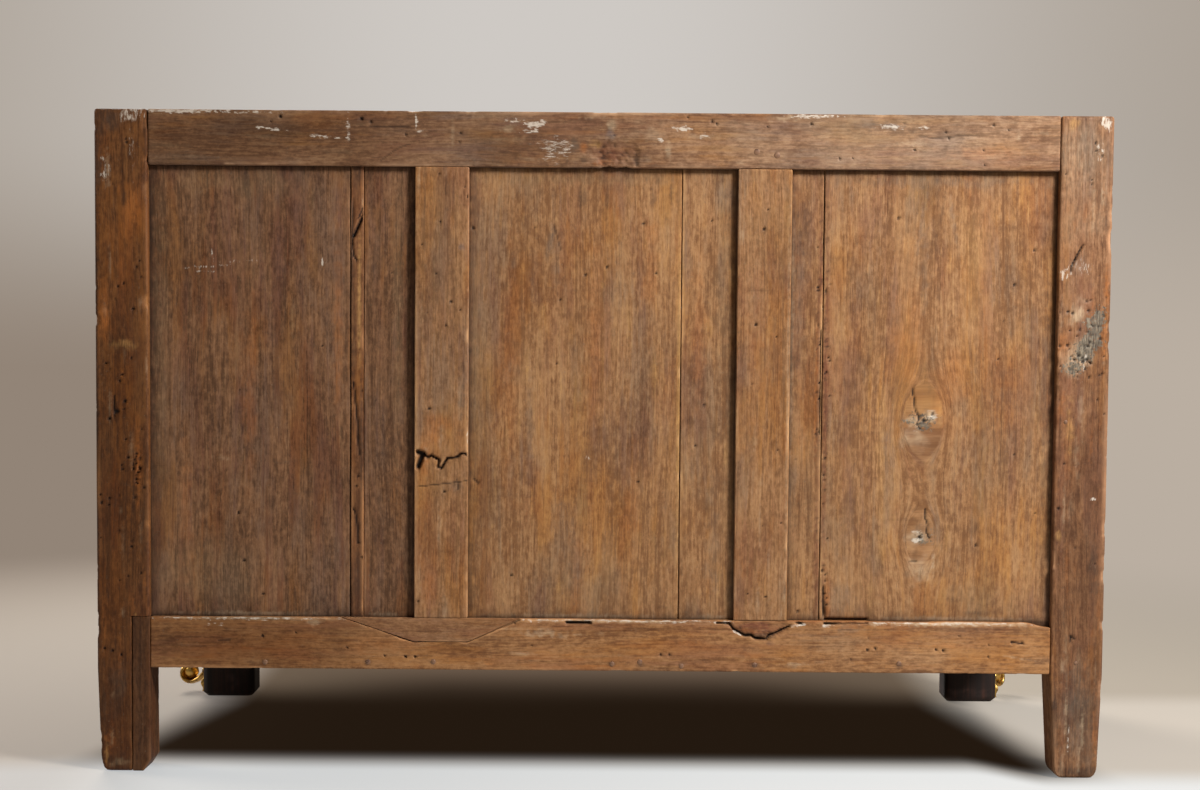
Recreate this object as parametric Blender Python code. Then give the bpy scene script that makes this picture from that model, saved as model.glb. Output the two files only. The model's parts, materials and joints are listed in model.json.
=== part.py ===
"""Commode with a frame-and-panel oak back, bow-fronted drawers, drop handles and bronze-shod front feet.

Metres, +Z up. The front faces -Y, and left and right are as seen from the front, so right is +X. Everything
is modelled from the back face of the rear posts (y = 0, the front at negative y) and the floor (z = 0). The
empty that carries it all then centres the whole commode front to back.
"""

import math

import bmesh
import bpy
from mathutils import Vector

# Overall sizes
WIDTH = 1.260
HEIGHT = 0.826
SIDE_DEPTH = 0.595
BOW = 0.034

# Gaps
FIT = 0.0003
SLIDE_GAP = 0.0015
DRAWER_TOP_GAP = 0.006
FRONT_EDGE_GAP = 0.0018
HOUSING_PLAY = 0.001
CUT_PAST = 0.002

# Rear posts and legs
REAR_POST_WIDE = 0.066
REAR_POST_DEEP = 0.050
LEG_HIGH = 0.131
LEG_TAPER_IN = 0.007
LEG_TAPER_OUT = 0.004
FOOT_ROUND_WIDE = 0.010
FOOT_ROUND_HIGH = 0.016
SPLICE_WIDE = 0.0225
SPLICE_CHAMFER_WIDE = 0.010
SPLICE_CHAMFER_HIGH = 0.020

# Rear rails, muntins and panels
TOP_RAIL_HIGH = 0.068
LOW_RAIL_HIGH = 0.065
RAIL_THICK = 0.028
RAIL_SETBACK = 0.0015
TENON_LONG = 0.030
TENON_THICK = 0.010
TENON_SHOULDER = 0.012
MUNTIN_WIDE = 0.067
MUNTIN_THICK = 0.024
MUNTIN_OUT = 0.200
PANEL_THICK = 0.009
PANEL_SETBACK = 0.008
GROOVE_DEEP = 0.010
BOARD_JOINT_GAP = 0.0006
RIGHT_WIDE_BOARD = 0.250
LEFT_NARROW_BOARD = 0.041
SLIP_WIDE = 0.016
SLIP_PROUD = 0.0015
CENTRE_WIDE_BOARD = 0.264
JOINT_V_DEEP = 0.002
PATCH_TOP_WIDE = 0.222
PATCH_LOW_WIDE = 0.068
PATCH_HIGH = 0.030
PATCH_SKEW = 0.012

# Front posts, feet and bronze shoes
FRONT_POST_WIDE = 0.104
FRONT_POST_DEEP = 0.080
CANT = 0.045
FOOT_INSET = 0.026
ANKLE_HIGH = 0.040
KNEE_HIGH = 0.096
FOOT_BEVEL = 0.006
LEG_RINGS = 14
SABOT_HIGH = 0.112
SABOT_LEAF_THICK = 0.005
SABOT_TOE_OUT = 0.048
SABOT_TOE_HIGH = 0.030
SABOT_TOE_ROUND = 0.016
SABOT_HALF_WIDE = 0.036
SABOT_TIP_HALF_WIDE = 0.006
SABOT_SIDES = 10

# Side panels
SIDE_THICK = 0.022
TONGUE_THICK = 0.008
TONGUE_LONG = 0.008

# Top, bottom and dust boards
TOP_BOARD_THICK = 0.016
BOTTOM_BOARD_THICK = 0.014
DUST_BOARD_THICK = 0.010
BOTTOM_BOARD_RISE = 0.037
REBATE_DEEP = 0.010
SIDE_GROOVE_DEEP = 0.006
GUIDE_WIDE = 0.025
GUIDE_HIGH = 0.016

# Front rails
FRONT_TOP_RAIL_HIGH = 0.030
FRONT_RAIL_DEEP = 0.045
DIVIDER_HIGH = 0.020
FRONT_TENON_LONG = 0.025
FRONT_TENON_THICK = 0.020
DOVETAIL_FLARE = 0.004
APRON_DEEP = 0.034
APRON_HIGH = 0.052
APRON_DROP = 0.026
APRON_LOBE = 0.095
APRON_END_DROP = 0.018
APRON_END_SHARPNESS = 8
BOW_SEGMENTS = 16

# Drawers
BOTTOM_DRAWER_HIGH = 0.215
MIDDLE_DRAWER_HIGH = 0.195
DRAWER_FRONT_THICK = 0.024
DRAWER_SIDE_THICK = 0.012
DRAWER_BACK_THICK = 0.012
DRAWER_BOTTOM_THICK = 0.008
DRAWER_BOTTOM_RISE = 0.010
DRAWER_GROOVE_DEEP = 0.005
DRAWER_REAR_GAP = 0.030
DRAWER_BACK_DROP = 0.008
TAILS = 3
TAIL_LONG = 0.016
TAIL_SHARE = 0.56
TAIL_FLARE = 0.0035

# Locks
LOCK_WIDE = 0.060
LOCK_HIGH = 0.046
LOCK_THICK = 0.012
BOLT_WIDE = 0.026
BOLT_HIGH = 0.030
BOLT_THICK = 0.006
BOLT_THROW = 0.010
KEYHOLE_WIDE = 0.006
KEYHOLE_HIGH = 0.018
KEYHOLE_DROP = 0.026

# Drop handles
HANDLE_OUT = 0.270
PLATE_HALF_LONG = 0.072
PLATE_HALF_HIGH = 0.033
PLATE_THICK = 0.003
PLATE_BEVEL = 0.002
PLATE_SWELL = 0.10
PLATE_LOBES = 4
PLATE_POINTS = 32
HANDLE_POST_OUT = 0.046
HANDLE_POST_RISE = 0.006
HANDLE_POST_RADIUS = 0.0075
HANDLE_NECK_RADIUS = 0.0050
PIVOT_STANDOFF = 0.0105
PIN_RADIUS = 0.0020
PIN_PLAY = 0.0007
BAIL_RADIUS = 0.0032
BAIL_SWELL = 0.0012
BAIL_SIDE_GAP = 0.0020
BAIL_DROP = 0.036
BAIL_SQUARE_X = 0.7
BAIL_SQUARE_Z = 0.8
BAIL_STEPS = 9
ROUND_SIDES = 10
TUBE_SIDES = 8

# Colour, roughness and metallic value of each finish
FINISHES = {
    "frame_oak": ((0.32, 0.17, 0.075), 0.75, 0.0),
    "panel_oak": ((0.30, 0.17, 0.085), 0.78, 0.0),
    "dark_veneer": ((0.085, 0.036, 0.018), 0.35, 0.0),
    "lining_oak": ((0.38, 0.24, 0.12), 0.80, 0.0),
    "gilt_bronze": ((0.72, 0.50, 0.18), 0.32, 1.0),
    "lock_iron": ((0.16, 0.15, 0.14), 0.55, 1.0),
}

# Places that several pieces share
HALF = WIDTH / 2
POST_IN = HALF - REAR_POST_WIDE
RAIL_BACK = -RAIL_SETBACK
RAIL_FRONT = RAIL_BACK - RAIL_THICK
MUNTIN_FRONT = RAIL_BACK - MUNTIN_THICK
PANEL_BACK = RAIL_BACK - PANEL_SETBACK
PANEL_FRONT = PANEL_BACK - PANEL_THICK
TENON_BACK = (RAIL_BACK + RAIL_FRONT + TENON_THICK) / 2
TOP_RAIL_LOW = HEIGHT - TOP_RAIL_HIGH
LOW_RAIL_TOP = LEG_HIGH + LOW_RAIL_HIGH
FRONT_Y = -SIDE_DEPTH
OPENING_HALF = HALF - FRONT_POST_WIDE
FRONT_POST_REAR = FRONT_Y + FRONT_POST_DEEP
SIDE_IN = HALF - SIDE_THICK
BOTTOM_TOP = LEG_HIGH + BOTTOM_BOARD_RISE
LOWER_DIVIDER_LOW = BOTTOM_TOP + BOTTOM_DRAWER_HIGH
LOWER_DIVIDER_TOP = LOWER_DIVIDER_LOW + DIVIDER_HIGH
UPPER_DIVIDER_LOW = LOWER_DIVIDER_TOP + MIDDLE_DRAWER_HIGH
UPPER_DIVIDER_TOP = UPPER_DIVIDER_LOW + DIVIDER_HIGH
FRONT_TOP_RAIL_LOW = HEIGHT - FRONT_TOP_RAIL_HIGH
APRON_EDGE = BOTTOM_TOP - APRON_HIGH
APRON_TENON_TOP = BOTTOM_TOP - BOTTOM_BOARD_THICK - CUT_PAST
DRAWER_HALF = OPENING_HALF - SLIDE_GAP
DRAWER_DEEP = SIDE_DEPTH + RAIL_FRONT - DRAWER_REAR_GAP
PIVOT_REACH = PLATE_THICK + PIVOT_STANDOFF
PIN_HOLE_RADIUS = PIN_RADIUS + PIN_PLAY
POST_FACE = HANDLE_POST_OUT - HANDLE_POST_RADIUS
BAIL_HALF_WIDE = POST_FACE - BAIL_SIDE_GAP - BAIL_RADIUS


# Shapes: each is a list of points and a list of faces


def loft(rings):
    """A skin through closed rings of equally many points, with both ends closed."""
    count = len(rings[0])
    points = [Vector(point) for ring in rings for point in ring]
    faces = [list(range(count)), list(range(len(points) - count, len(points)))]
    for ring in range(len(rings) - 1):
        base = ring * count
        for i in range(count):
            j = (i + 1) % count
            faces.append([base + i, base + j, base + count + j, base + count + i])
    return points, faces


def prism(outline, axis, start, end):
    """An outline carried along an axis: (y, z) along x, (x, z) along y, or (x, y) along z."""
    place = {
        "x": lambda a, b, t: (t, a, b),
        "y": lambda a, b, t: (a, t, b),
        "z": lambda a, b, t: (a, b, t),
    }[axis]
    return loft([[place(a, b, t) for a, b in outline] for t in (start, end)])


def rectangle(low_a, high_a, low_b, high_b):
    return [(low_a, low_b), (high_a, low_b), (high_a, high_b), (low_a, high_b)]


def box(low, high):
    return prism(rectangle(low[0], high[0], low[1], high[1]), "z", low[2], high[2])


def flipped(outline):
    """An outline mirrored left to right, still running the same way round."""
    return [(-a, b) for a, b in reversed(outline)]


def turned(profile, sides, centre_x, centre_z):
    """A round post standing out along -y: the profile is (reach, radius) pairs from its root outwards."""
    angles = [2 * math.pi * k / sides for k in range(sides)]
    return loft(
        [
            [(centre_x + radius * math.cos(a), -reach, centre_z + radius * math.sin(a)) for a in angles]
            for reach, radius in profile
        ]
    )


def tube(path, radii, sides):
    """A round bar along a path in the x-z plane, with its own radius at each point."""
    rings = []
    for i, (x, z) in enumerate(path):
        before, after = path[max(i - 1, 0)], path[min(i + 1, len(path) - 1)]
        along = Vector((after[0] - before[0], 0, after[1] - before[1])).normalized()
        across = along.cross(Vector((0, 1, 0)))
        angles = [2 * math.pi * (k + 0.5) / sides for k in range(sides)]
        rings.append(
            [
                Vector((x, 0, z)) + radii[i] * (across * math.cos(a) + Vector((0, math.sin(a), 0)))
                for a in angles
            ]
        )
    return loft(rings)


# Objects


def empty(name, location, parent=None):
    obj = bpy.data.objects.new(name, None)
    obj.location = location
    obj.parent = parent
    bpy.context.scene.collection.objects.link(obj)
    return obj


def finish(name):
    material = bpy.data.materials.get(name)
    if material is None:
        colour, roughness, metallic = FINISHES[name]
        material = bpy.data.materials.new(name)
        material.use_nodes = True
        shader = material.node_tree.nodes["Principled BSDF"]
        shader.inputs["Base Color"].default_value = (*colour, 1)
        shader.inputs["Roughness"].default_value = roughness
        shader.inputs["Metallic"].default_value = metallic
        material.diffuse_color = (*colour, 1)
    return material


def mesh_object(name, parent, shapes):
    mesh = bpy.data.meshes.new(name)
    model = bmesh.new()
    for points, faces in shapes:
        corners = [model.verts.new(point) for point in points]
        for face in faces:
            model.faces.new([corners[i] for i in face])
    bmesh.ops.recalc_face_normals(model, faces=model.faces)
    model.to_mesh(mesh)
    model.free()
    obj = bpy.data.objects.new(name, mesh)
    obj.parent = parent
    bpy.context.scene.collection.objects.link(obj)
    return obj


def piece(name, finish_name, parent, *shapes):
    obj = mesh_object(name, parent, shapes)
    obj.data.materials.append(finish(finish_name))
    return obj


def combine(obj, operation, shapes):
    """Joins shapes to a piece, or cuts them from it, with a Boolean whose helper stays hidden."""
    helper = mesh_object(f"{obj.name}.{operation.lower()}", obj.parent, shapes)
    helper.location = obj.location
    helper.rotation_euler = obj.rotation_euler
    helper.hide_render = True
    helper.display_type = "WIRE"
    modifier = obj.modifiers.new(operation.title(), "BOOLEAN")
    modifier.operation = operation
    modifier.object = helper
    modifier.solver = "EXACT"


def cut(obj, *shapes):
    combine(obj, "DIFFERENCE", shapes)


def join(obj, *shapes):
    combine(obj, "UNION", shapes)


# Rear frame


def rail_ring(x, back, front, low, top):
    return [(x, back, low), (x, front, low), (x, front, top), (x, back, top)]


def tenoned_rail(low, top):
    """A rear rail with a tenon at each end, shouldered all round."""
    shoulder = POST_IN - FIT
    tip = shoulder + TENON_LONG
    full = (RAIL_BACK, RAIL_FRONT, low, top)
    tenon = (TENON_BACK, TENON_BACK - TENON_THICK, low + TENON_SHOULDER, top - TENON_SHOULDER)
    left = [(-tip, tenon), (-shoulder, tenon), (-shoulder, full)]
    right = [(-x, section) for x, section in reversed(left)]
    return loft([rail_ring(x, *section) for x, section in left + right])


def rail_mortise(side, low, top):
    """The hole in a rear post for a rail's tenon. side is 1 on the right and -1 on the left."""
    ends = sorted((side * (POST_IN - CUT_PAST), side * (POST_IN + TENON_LONG + HOUSING_PLAY)))
    return box(
        (ends[0], TENON_BACK - TENON_THICK - FIT, low + TENON_SHOULDER - FIT),
        (ends[1], TENON_BACK + FIT, top - TENON_SHOULDER + FIT),
    )


def panel_groove(x0, x1, z0, z1):
    low, high = sorted((x0, x1))
    return box((low, PANEL_FRONT - FIT, z0), (high, PANEL_BACK + FIT, z1))


def post_panel_groove(side):
    return panel_groove(
        side * (POST_IN - CUT_PAST),
        side * (POST_IN + GROOVE_DEEP),
        LOW_RAIL_TOP - GROOVE_DEEP,
        TOP_RAIL_LOW + GROOVE_DEEP,
    )


def side_tongue_groove(side, y0, y1):
    """The groove in a post for a side panel's tongue, open at the top."""
    middle = (SIDE_IN + HALF) / 2
    half = TONGUE_THICK / 2 + FIT
    ends = sorted((side * (middle - half), side * (middle + half)))
    return box((ends[0], min(y0, y1), LEG_HIGH - FIT), (ends[1], max(y0, y1), HEIGHT + CUT_PAST))


def rear_posts(root):
    top, inner_low = HEIGHT, LOW_RAIL_TOP
    worn_outer = [
        (HALF - LEG_TAPER_OUT - FOOT_ROUND_WIDE, 0),
        (HALF - LEG_TAPER_OUT, FOOT_ROUND_HIGH),
        (HALF, LEG_HIGH),
        (HALF, top),
        (POST_IN, top),
    ]
    cut_back = POST_IN + SPLICE_WIDE
    right_outline = worn_outer + [(POST_IN, inner_low), (cut_back, inner_low), (cut_back, 0)]
    left_outline = worn_outer + [
        (POST_IN, LEG_HIGH),
        (POST_IN + LEG_TAPER_IN, FOOT_ROUND_HIGH),
        (POST_IN + LEG_TAPER_IN + FOOT_ROUND_WIDE, 0),
    ]
    rear_groove = (-REAR_POST_DEEP - CUT_PAST, -REAR_POST_DEEP + TONGUE_LONG + HOUSING_PLAY)
    for name, side, outline in (("left", -1, flipped(left_outline)), ("right", 1, right_outline)):
        post = piece(f"rear_post_{name}", "frame_oak", root, prism(outline, "y", -REAR_POST_DEEP, 0))
        cut(
            post,
            post_panel_groove(side),
            rail_mortise(side, TOP_RAIL_LOW, HEIGHT),
            rail_mortise(side, LEG_HIGH, LOW_RAIL_TOP),
            side_tongue_groove(side, *rear_groove),
        )


def rear_leg_splice(root):
    outer = POST_IN + SPLICE_WIDE - FIT
    outline = [
        (POST_IN + SPLICE_CHAMFER_WIDE, 0),
        (outer, 0),
        (outer, LOW_RAIL_TOP - FIT),
        (POST_IN, LOW_RAIL_TOP - FIT),
        (POST_IN, SPLICE_CHAMFER_HIGH),
    ]
    splice = piece("rear_leg_splice", "frame_oak", root, prism(outline, "y", -REAR_POST_DEEP, 0))
    cut(splice, rail_mortise(1, LEG_HIGH, LOW_RAIL_TOP), post_panel_groove(1))


def patch_outline(grow):
    """The trapezium let into the bottom rail below the right muntin, grown all round for its pocket."""
    low, top = LOW_RAIL_TOP - PATCH_HIGH, LOW_RAIL_TOP
    corners = []
    for side in (-1, 1):
        x_low = MUNTIN_OUT + side * PATCH_LOW_WIDE / 2
        x_top = MUNTIN_OUT + PATCH_SKEW + side * PATCH_TOP_WIDE / 2
        slope = (x_top - x_low) / PATCH_HIGH
        shift = side * grow * math.hypot(1, slope)
        ends = [(x_low + shift - slope * grow, low - grow), (x_top + shift + slope * grow, top + grow)]
        corners += ends if side > 0 else ends[::-1]
    return corners


def rear_rails(root):
    top_rail = piece("rear_top_rail", "frame_oak", root, tenoned_rail(TOP_RAIL_LOW, HEIGHT))
    cut(
        top_rail,
        panel_groove(-POST_IN, POST_IN, TOP_RAIL_LOW - CUT_PAST, TOP_RAIL_LOW + GROOVE_DEEP),
        box(
            (-POST_IN, RAIL_FRONT - CUT_PAST, HEIGHT - TOP_BOARD_THICK - FIT),
            (POST_IN, RAIL_FRONT + REBATE_DEEP, HEIGHT + CUT_PAST),
        ),
    )
    low_rail = piece("rear_bottom_rail", "frame_oak", root, tenoned_rail(LEG_HIGH, LOW_RAIL_TOP))
    cut(low_rail, panel_groove(-POST_IN, POST_IN, LOW_RAIL_TOP - GROOVE_DEEP, LOW_RAIL_TOP + CUT_PAST))
    cut(
        low_rail,
        box(
            (-POST_IN, RAIL_FRONT - CUT_PAST, BOTTOM_TOP - BOTTOM_BOARD_THICK - FIT),
            (POST_IN, RAIL_FRONT + REBATE_DEEP, BOTTOM_TOP + FIT),
        ),
    )
    cut(low_rail, prism(patch_outline(FIT), "y", PANEL_BACK, RAIL_BACK + CUT_PAST))
    piece("rear_rail_patch", "frame_oak", root, prism(patch_outline(0), "y", PANEL_BACK + FIT, RAIL_BACK))


def muntins(root):
    low, top = LOW_RAIL_TOP + FIT, TOP_RAIL_LOW - FIT
    tongue = GROOVE_DEEP - HOUSING_PLAY
    outline = [
        (MUNTIN_FRONT, low),
        (PANEL_FRONT, low),
        (PANEL_FRONT, low - tongue),
        (PANEL_BACK, low - tongue),
        (PANEL_BACK, low),
        (RAIL_BACK, low),
        (RAIL_BACK, top),
        (PANEL_BACK, top),
        (PANEL_BACK, top + tongue),
        (PANEL_FRONT, top + tongue),
        (PANEL_FRONT, top),
        (MUNTIN_FRONT, top),
    ]
    for name, side in (("left", -1), ("right", 1)):
        inner = side * MUNTIN_OUT - MUNTIN_WIDE / 2
        outer = inner + MUNTIN_WIDE
        muntin = piece(f"muntin_{name}", "frame_oak", root, prism(outline, "x", inner, outer))
        reach = (low - tongue - CUT_PAST, top + tongue + CUT_PAST)
        cut(
            muntin,
            panel_groove(inner - CUT_PAST, inner + GROOVE_DEEP, *reach),
            panel_groove(outer - GROOVE_DEEP, outer + CUT_PAST, *reach),
        )


def board(x0, x1):
    """A back board between two x places, its ends standing in the rails' grooves."""
    end = GROOVE_DEEP - HOUSING_PLAY
    low, high = sorted((x0, x1))
    return box((low, PANEL_FRONT, LOW_RAIL_TOP - end), (high, PANEL_BACK, TOP_RAIL_LOW + end))


def back_panels(root):
    edge_in = GROOVE_DEEP - HOUSING_PLAY
    post_edge = POST_IN + edge_in
    muntin_outer = MUNTIN_OUT + MUNTIN_WIDE / 2 - edge_in
    muntin_inner = MUNTIN_OUT - MUNTIN_WIDE / 2 + edge_in
    right_joint = POST_IN - RIGHT_WIDE_BOARD
    left_joint = -(MUNTIN_OUT + MUNTIN_WIDE / 2 + LEFT_NARROW_BOARD)
    centre_joint = MUNTIN_OUT - MUNTIN_WIDE / 2 - CENTRE_WIDE_BOARD
    piece("back_board_right_wide", "panel_oak", root, board(right_joint, post_edge))
    slip_x = right_joint - BOARD_JOINT_GAP
    narrow = piece("back_board_right_narrow", "panel_oak", root, board(muntin_outer, slip_x))
    join(
        narrow,
        box(
            (slip_x - SLIP_WIDE, PANEL_BACK - PANEL_THICK / 2, LOW_RAIL_TOP + HOUSING_PLAY),
            (slip_x, PANEL_BACK + SLIP_PROUD, TOP_RAIL_LOW - HOUSING_PLAY),
        ),
    )
    piece("back_board_left_narrow", "panel_oak", root, board(-muntin_outer, left_joint + BOARD_JOINT_GAP))
    piece("back_board_left_wide", "panel_oak", root, board(left_joint, -post_edge))
    centre = piece("back_panel_centre", "panel_oak", root, board(-muntin_inner, muntin_inner))
    groove = [
        (centre_joint - JOINT_V_DEEP, PANEL_BACK + JOINT_V_DEEP),
        (centre_joint, PANEL_BACK - JOINT_V_DEEP),
        (centre_joint + JOINT_V_DEEP, PANEL_BACK + JOINT_V_DEEP),
    ]
    past = GROOVE_DEEP + CUT_PAST
    cut(centre, prism(groove, "z", LOW_RAIL_TOP - past, TOP_RAIL_LOW + past))


# Front posts, feet and shoes


def leg_heights():
    rise = (LEG_HIGH - FOOT_BEVEL) / LEG_RINGS
    return [FOOT_BEVEL + k * rise for k in range(LEG_RINGS + 1)]


def leg_inset(z):
    """How far the leg's two outer faces stand in: fully at the ankle, not at all from the knee up."""
    share = min(max((z - ANKLE_HIGH) / (KNEE_HIGH - ANKLE_HIGH), 0), 1)
    return FOOT_INSET * (1 - share * share * (3 - 2 * share))


def post_ring(side, z, inset, shrink=0.0):
    """The front post's section: square inside, its outer front corner canted."""
    outer, front = HALF - inset - shrink, FRONT_Y + inset + shrink
    inner, rear = OPENING_HALF + shrink, FRONT_POST_REAR - shrink
    ring = [(inner, rear), (inner, front), (outer - CANT, front), (outer, front + CANT), (outer, rear)]
    return [(side * x, y, z) for x, y in ring]


def front_tenon(side, deep, grow, flare=0.0):
    """The end of a front rail that is housed in a post: its outline in plan, root to tip and back."""
    root, tip = OPENING_HALF - FIT, OPENING_HALF - FIT + FRONT_TENON_LONG
    middle = FRONT_Y + deep / 2
    half = FRONT_TENON_THICK / 2 + grow
    outline = [
        (root, middle + half - flare),
        (tip + grow, middle + half),
        (tip + grow, middle - half),
        (root, middle - half + flare),
    ]
    return outline if side > 0 else [(-x, y) for x, y in outline]


def front_posts(root):
    heights = leg_heights()
    for name, side in (("left", -1), ("right", 1)):
        rings = [post_ring(side, 0, FOOT_INSET, FOOT_BEVEL)]
        rings += [post_ring(side, z, leg_inset(z)) for z in heights]
        rings.append(post_ring(side, HEIGHT, 0))
        post = piece(f"front_post_{name}", "dark_veneer", root, loft(rings))
        mouth_x = side * (OPENING_HALF - CUT_PAST)
        mortises = []
        for low, top, deep, flare in (
            (FRONT_TOP_RAIL_LOW - FIT, HEIGHT + CUT_PAST, FRONT_RAIL_DEEP, DOVETAIL_FLARE),
            (UPPER_DIVIDER_LOW - FIT, UPPER_DIVIDER_TOP + FIT, FRONT_RAIL_DEEP, 0.0),
            (LOWER_DIVIDER_LOW - FIT, LOWER_DIVIDER_TOP + FIT, FRONT_RAIL_DEEP, 0.0),
            (APRON_EDGE - FIT, APRON_TENON_TOP + FIT, APRON_DEEP, 0.0),
        ):
            outline = front_tenon(side, deep, FIT, flare)
            mouth = [(mouth_x, outline[3][1]), (mouth_x, outline[0][1])]
            mortises.append(prism(outline + mouth, "z", low, top))
        rear_groove = (FRONT_POST_REAR - TONGUE_LONG - HOUSING_PLAY, FRONT_POST_REAR + CUT_PAST)
        cut(post, *mortises, side_tongue_groove(side, *rear_groove))


def sabot_ring(side, z):
    """A leaf-shaped section against the leg's canted face, bulging into a toe low down."""
    inset = leg_inset(z)
    middle = Vector((HALF - inset - CANT / 2, FRONT_Y + inset + CANT / 2, z))
    out = Vector((1, -1, 0)).normalized()
    along = Vector((1, 1, 0)).normalized()
    share = z / SABOT_HIGH
    half = SABOT_TIP_HALF_WIDE + (SABOT_HALF_WIDE - SABOT_TIP_HALF_WIDE) * (1 - share**2)
    bulge = SABOT_LEAF_THICK + SABOT_TOE_OUT * math.exp(-(((z - SABOT_TOE_HIGH) / SABOT_TOE_ROUND) ** 2))
    ring = []
    for k in range(SABOT_SIDES + 1):
        a = math.pi * k / SABOT_SIDES
        point = middle + out * (FIT + bulge * math.sin(a)) + along * half * math.cos(a)
        ring.append((side * point.x, point.y, point.z))
    return ring


def sabots(root):
    heights = [z for z in leg_heights() if z <= SABOT_HIGH]
    for name, side in (("left", -1), ("right", 1)):
        piece(f"sabot_{name}", "gilt_bronze", root, loft([sabot_ring(side, z) for z in heights]))


# Carcass boards and front rails


def bow_y(x):
    """The bowed front's place at x: a parabola from post to post."""
    return FRONT_Y - BOW * (1 - (x / OPENING_HALF) ** 2)


def bow_line(half):
    steps = [2 * k / BOW_SEGMENTS - 1 for k in range(BOW_SEGMENTS + 1)]
    return [(half * s, bow_y(half * s)) for s in steps]


def side_panels(root):
    middle = (SIDE_IN + HALF) / 2
    half = TONGUE_THICK / 2
    front, rear = FRONT_POST_REAR + FIT, -REAR_POST_DEEP - FIT
    outline = [
        (SIDE_IN, front),
        (middle - half, front),
        (middle - half, front - TONGUE_LONG),
        (middle + half, front - TONGUE_LONG),
        (middle + half, front),
        (HALF, front),
        (HALF, rear),
        (middle + half, rear),
        (middle + half, rear + TONGUE_LONG),
        (middle - half, rear + TONGUE_LONG),
        (middle - half, rear),
        (SIDE_IN, rear),
    ]
    levels = (
        (BOTTOM_TOP, BOTTOM_BOARD_THICK),
        (LOWER_DIVIDER_TOP, DUST_BOARD_THICK),
        (UPPER_DIVIDER_TOP, DUST_BOARD_THICK),
    )
    for name, side in (("left", -1), ("right", 1)):
        shape = outline if side > 0 else flipped(outline)
        panel = piece(f"side_panel_{name}", "dark_veneer", root, prism(shape, "z", LEG_HIGH, HEIGHT))
        grooves = []
        for top, thick in levels:
            ends = sorted((side * (SIDE_IN - CUT_PAST), side * (SIDE_IN + SIDE_GROOVE_DEEP)))
            grooves.append(
                box(
                    (ends[0], front - TONGUE_LONG - CUT_PAST, top - thick - FIT),
                    (ends[1], rear + TONGUE_LONG + CUT_PAST, top + FIT),
                )
            )
        cut(panel, *grooves)


def level_outline(half_wide, rear, front):
    """A board that fills the carcass in plan: notched round all four posts."""
    rear_notch, front_notch = -REAR_POST_DEEP - FIT, FRONT_POST_REAR + FIT
    rear_half, front_half = POST_IN - HOUSING_PLAY, OPENING_HALF - HOUSING_PLAY
    right = [
        (front_half, front),
        (front_half, front_notch),
        (half_wide, front_notch),
        (half_wide, rear_notch),
        (rear_half, rear_notch),
        (rear_half, rear),
    ]
    return right + [(-x, y) for x, y in reversed(right)]


def drawer_guides(top):
    """The two strips on a board that keep a drawer straight."""
    guides = []
    for side in (-1, 1):
        ends = sorted((side * OPENING_HALF, side * (OPENING_HALF + GUIDE_WIDE)))
        guides.append(
            box(
                (ends[0], FRONT_POST_REAR + HOUSING_PLAY, top - DUST_BOARD_THICK / 2),
                (ends[1], -REAR_POST_DEEP - HOUSING_PLAY, top + GUIDE_HIGH),
            )
        )
    return guides


def carcass_boards(root):
    in_groove = SIDE_IN + SIDE_GROOVE_DEEP - HOUSING_PLAY
    rebate = FRONT_Y + FRONT_RAIL_DEEP - REBATE_DEEP + FIT
    rear_rebate = RAIL_FRONT + REBATE_DEEP - FIT
    top_outline = level_outline(SIDE_IN - FIT, rear_rebate, rebate)
    piece("top_board", "lining_oak", root, prism(top_outline, "z", HEIGHT - TOP_BOARD_THICK, HEIGHT))
    apron_rebate = FRONT_Y + APRON_DEEP - REBATE_DEEP + FIT
    rear_stop = min(RAIL_FRONT, MUNTIN_FRONT) - HOUSING_PLAY
    for name, top, thick, rear, front in (
        ("bottom_board", BOTTOM_TOP, BOTTOM_BOARD_THICK, rear_rebate, apron_rebate),
        ("lower_dust_board", LOWER_DIVIDER_TOP, DUST_BOARD_THICK, rear_stop, rebate),
        ("upper_dust_board", UPPER_DIVIDER_TOP, DUST_BOARD_THICK, rear_stop, rebate),
    ):
        outline = level_outline(in_groove, rear, front)
        level = piece(name, "lining_oak", root, prism(outline, "z", top - thick, top))
        join(level, *drawer_guides(top))


def bowed_rail_outline(flare):
    """A front rail in plan: bowed in front, straight behind, with a tenon or dovetail at each end."""
    half = OPENING_HALF - FIT
    back = FRONT_Y + FRONT_RAIL_DEEP
    right, left = (front_tenon(side, FRONT_RAIL_DEEP, 0, flare) for side in (1, -1))
    return bow_line(half) + list(reversed(right)) + [(half, back), (-half, back)] + left


def bolt_mortise(rail_low):
    """The hole in a rail's underside that a lock's bolt rises into."""
    y = FRONT_Y + DRAWER_FRONT_THICK - LOCK_THICK / 2
    half_x, half_y = BOLT_WIDE / 2 + HOUSING_PLAY, BOLT_THICK / 2 + HOUSING_PLAY
    roof = rail_low + BOLT_THROW + HOUSING_PLAY
    return box((-half_x, y - half_y, rail_low - CUT_PAST), (half_x, y + half_y, roof))


def front_rebate(back, top, thick):
    return box(
        (-OPENING_HALF, back - REBATE_DEEP, top - thick - FIT),
        (OPENING_HALF, back + CUT_PAST, top + CUT_PAST),
    )


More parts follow.
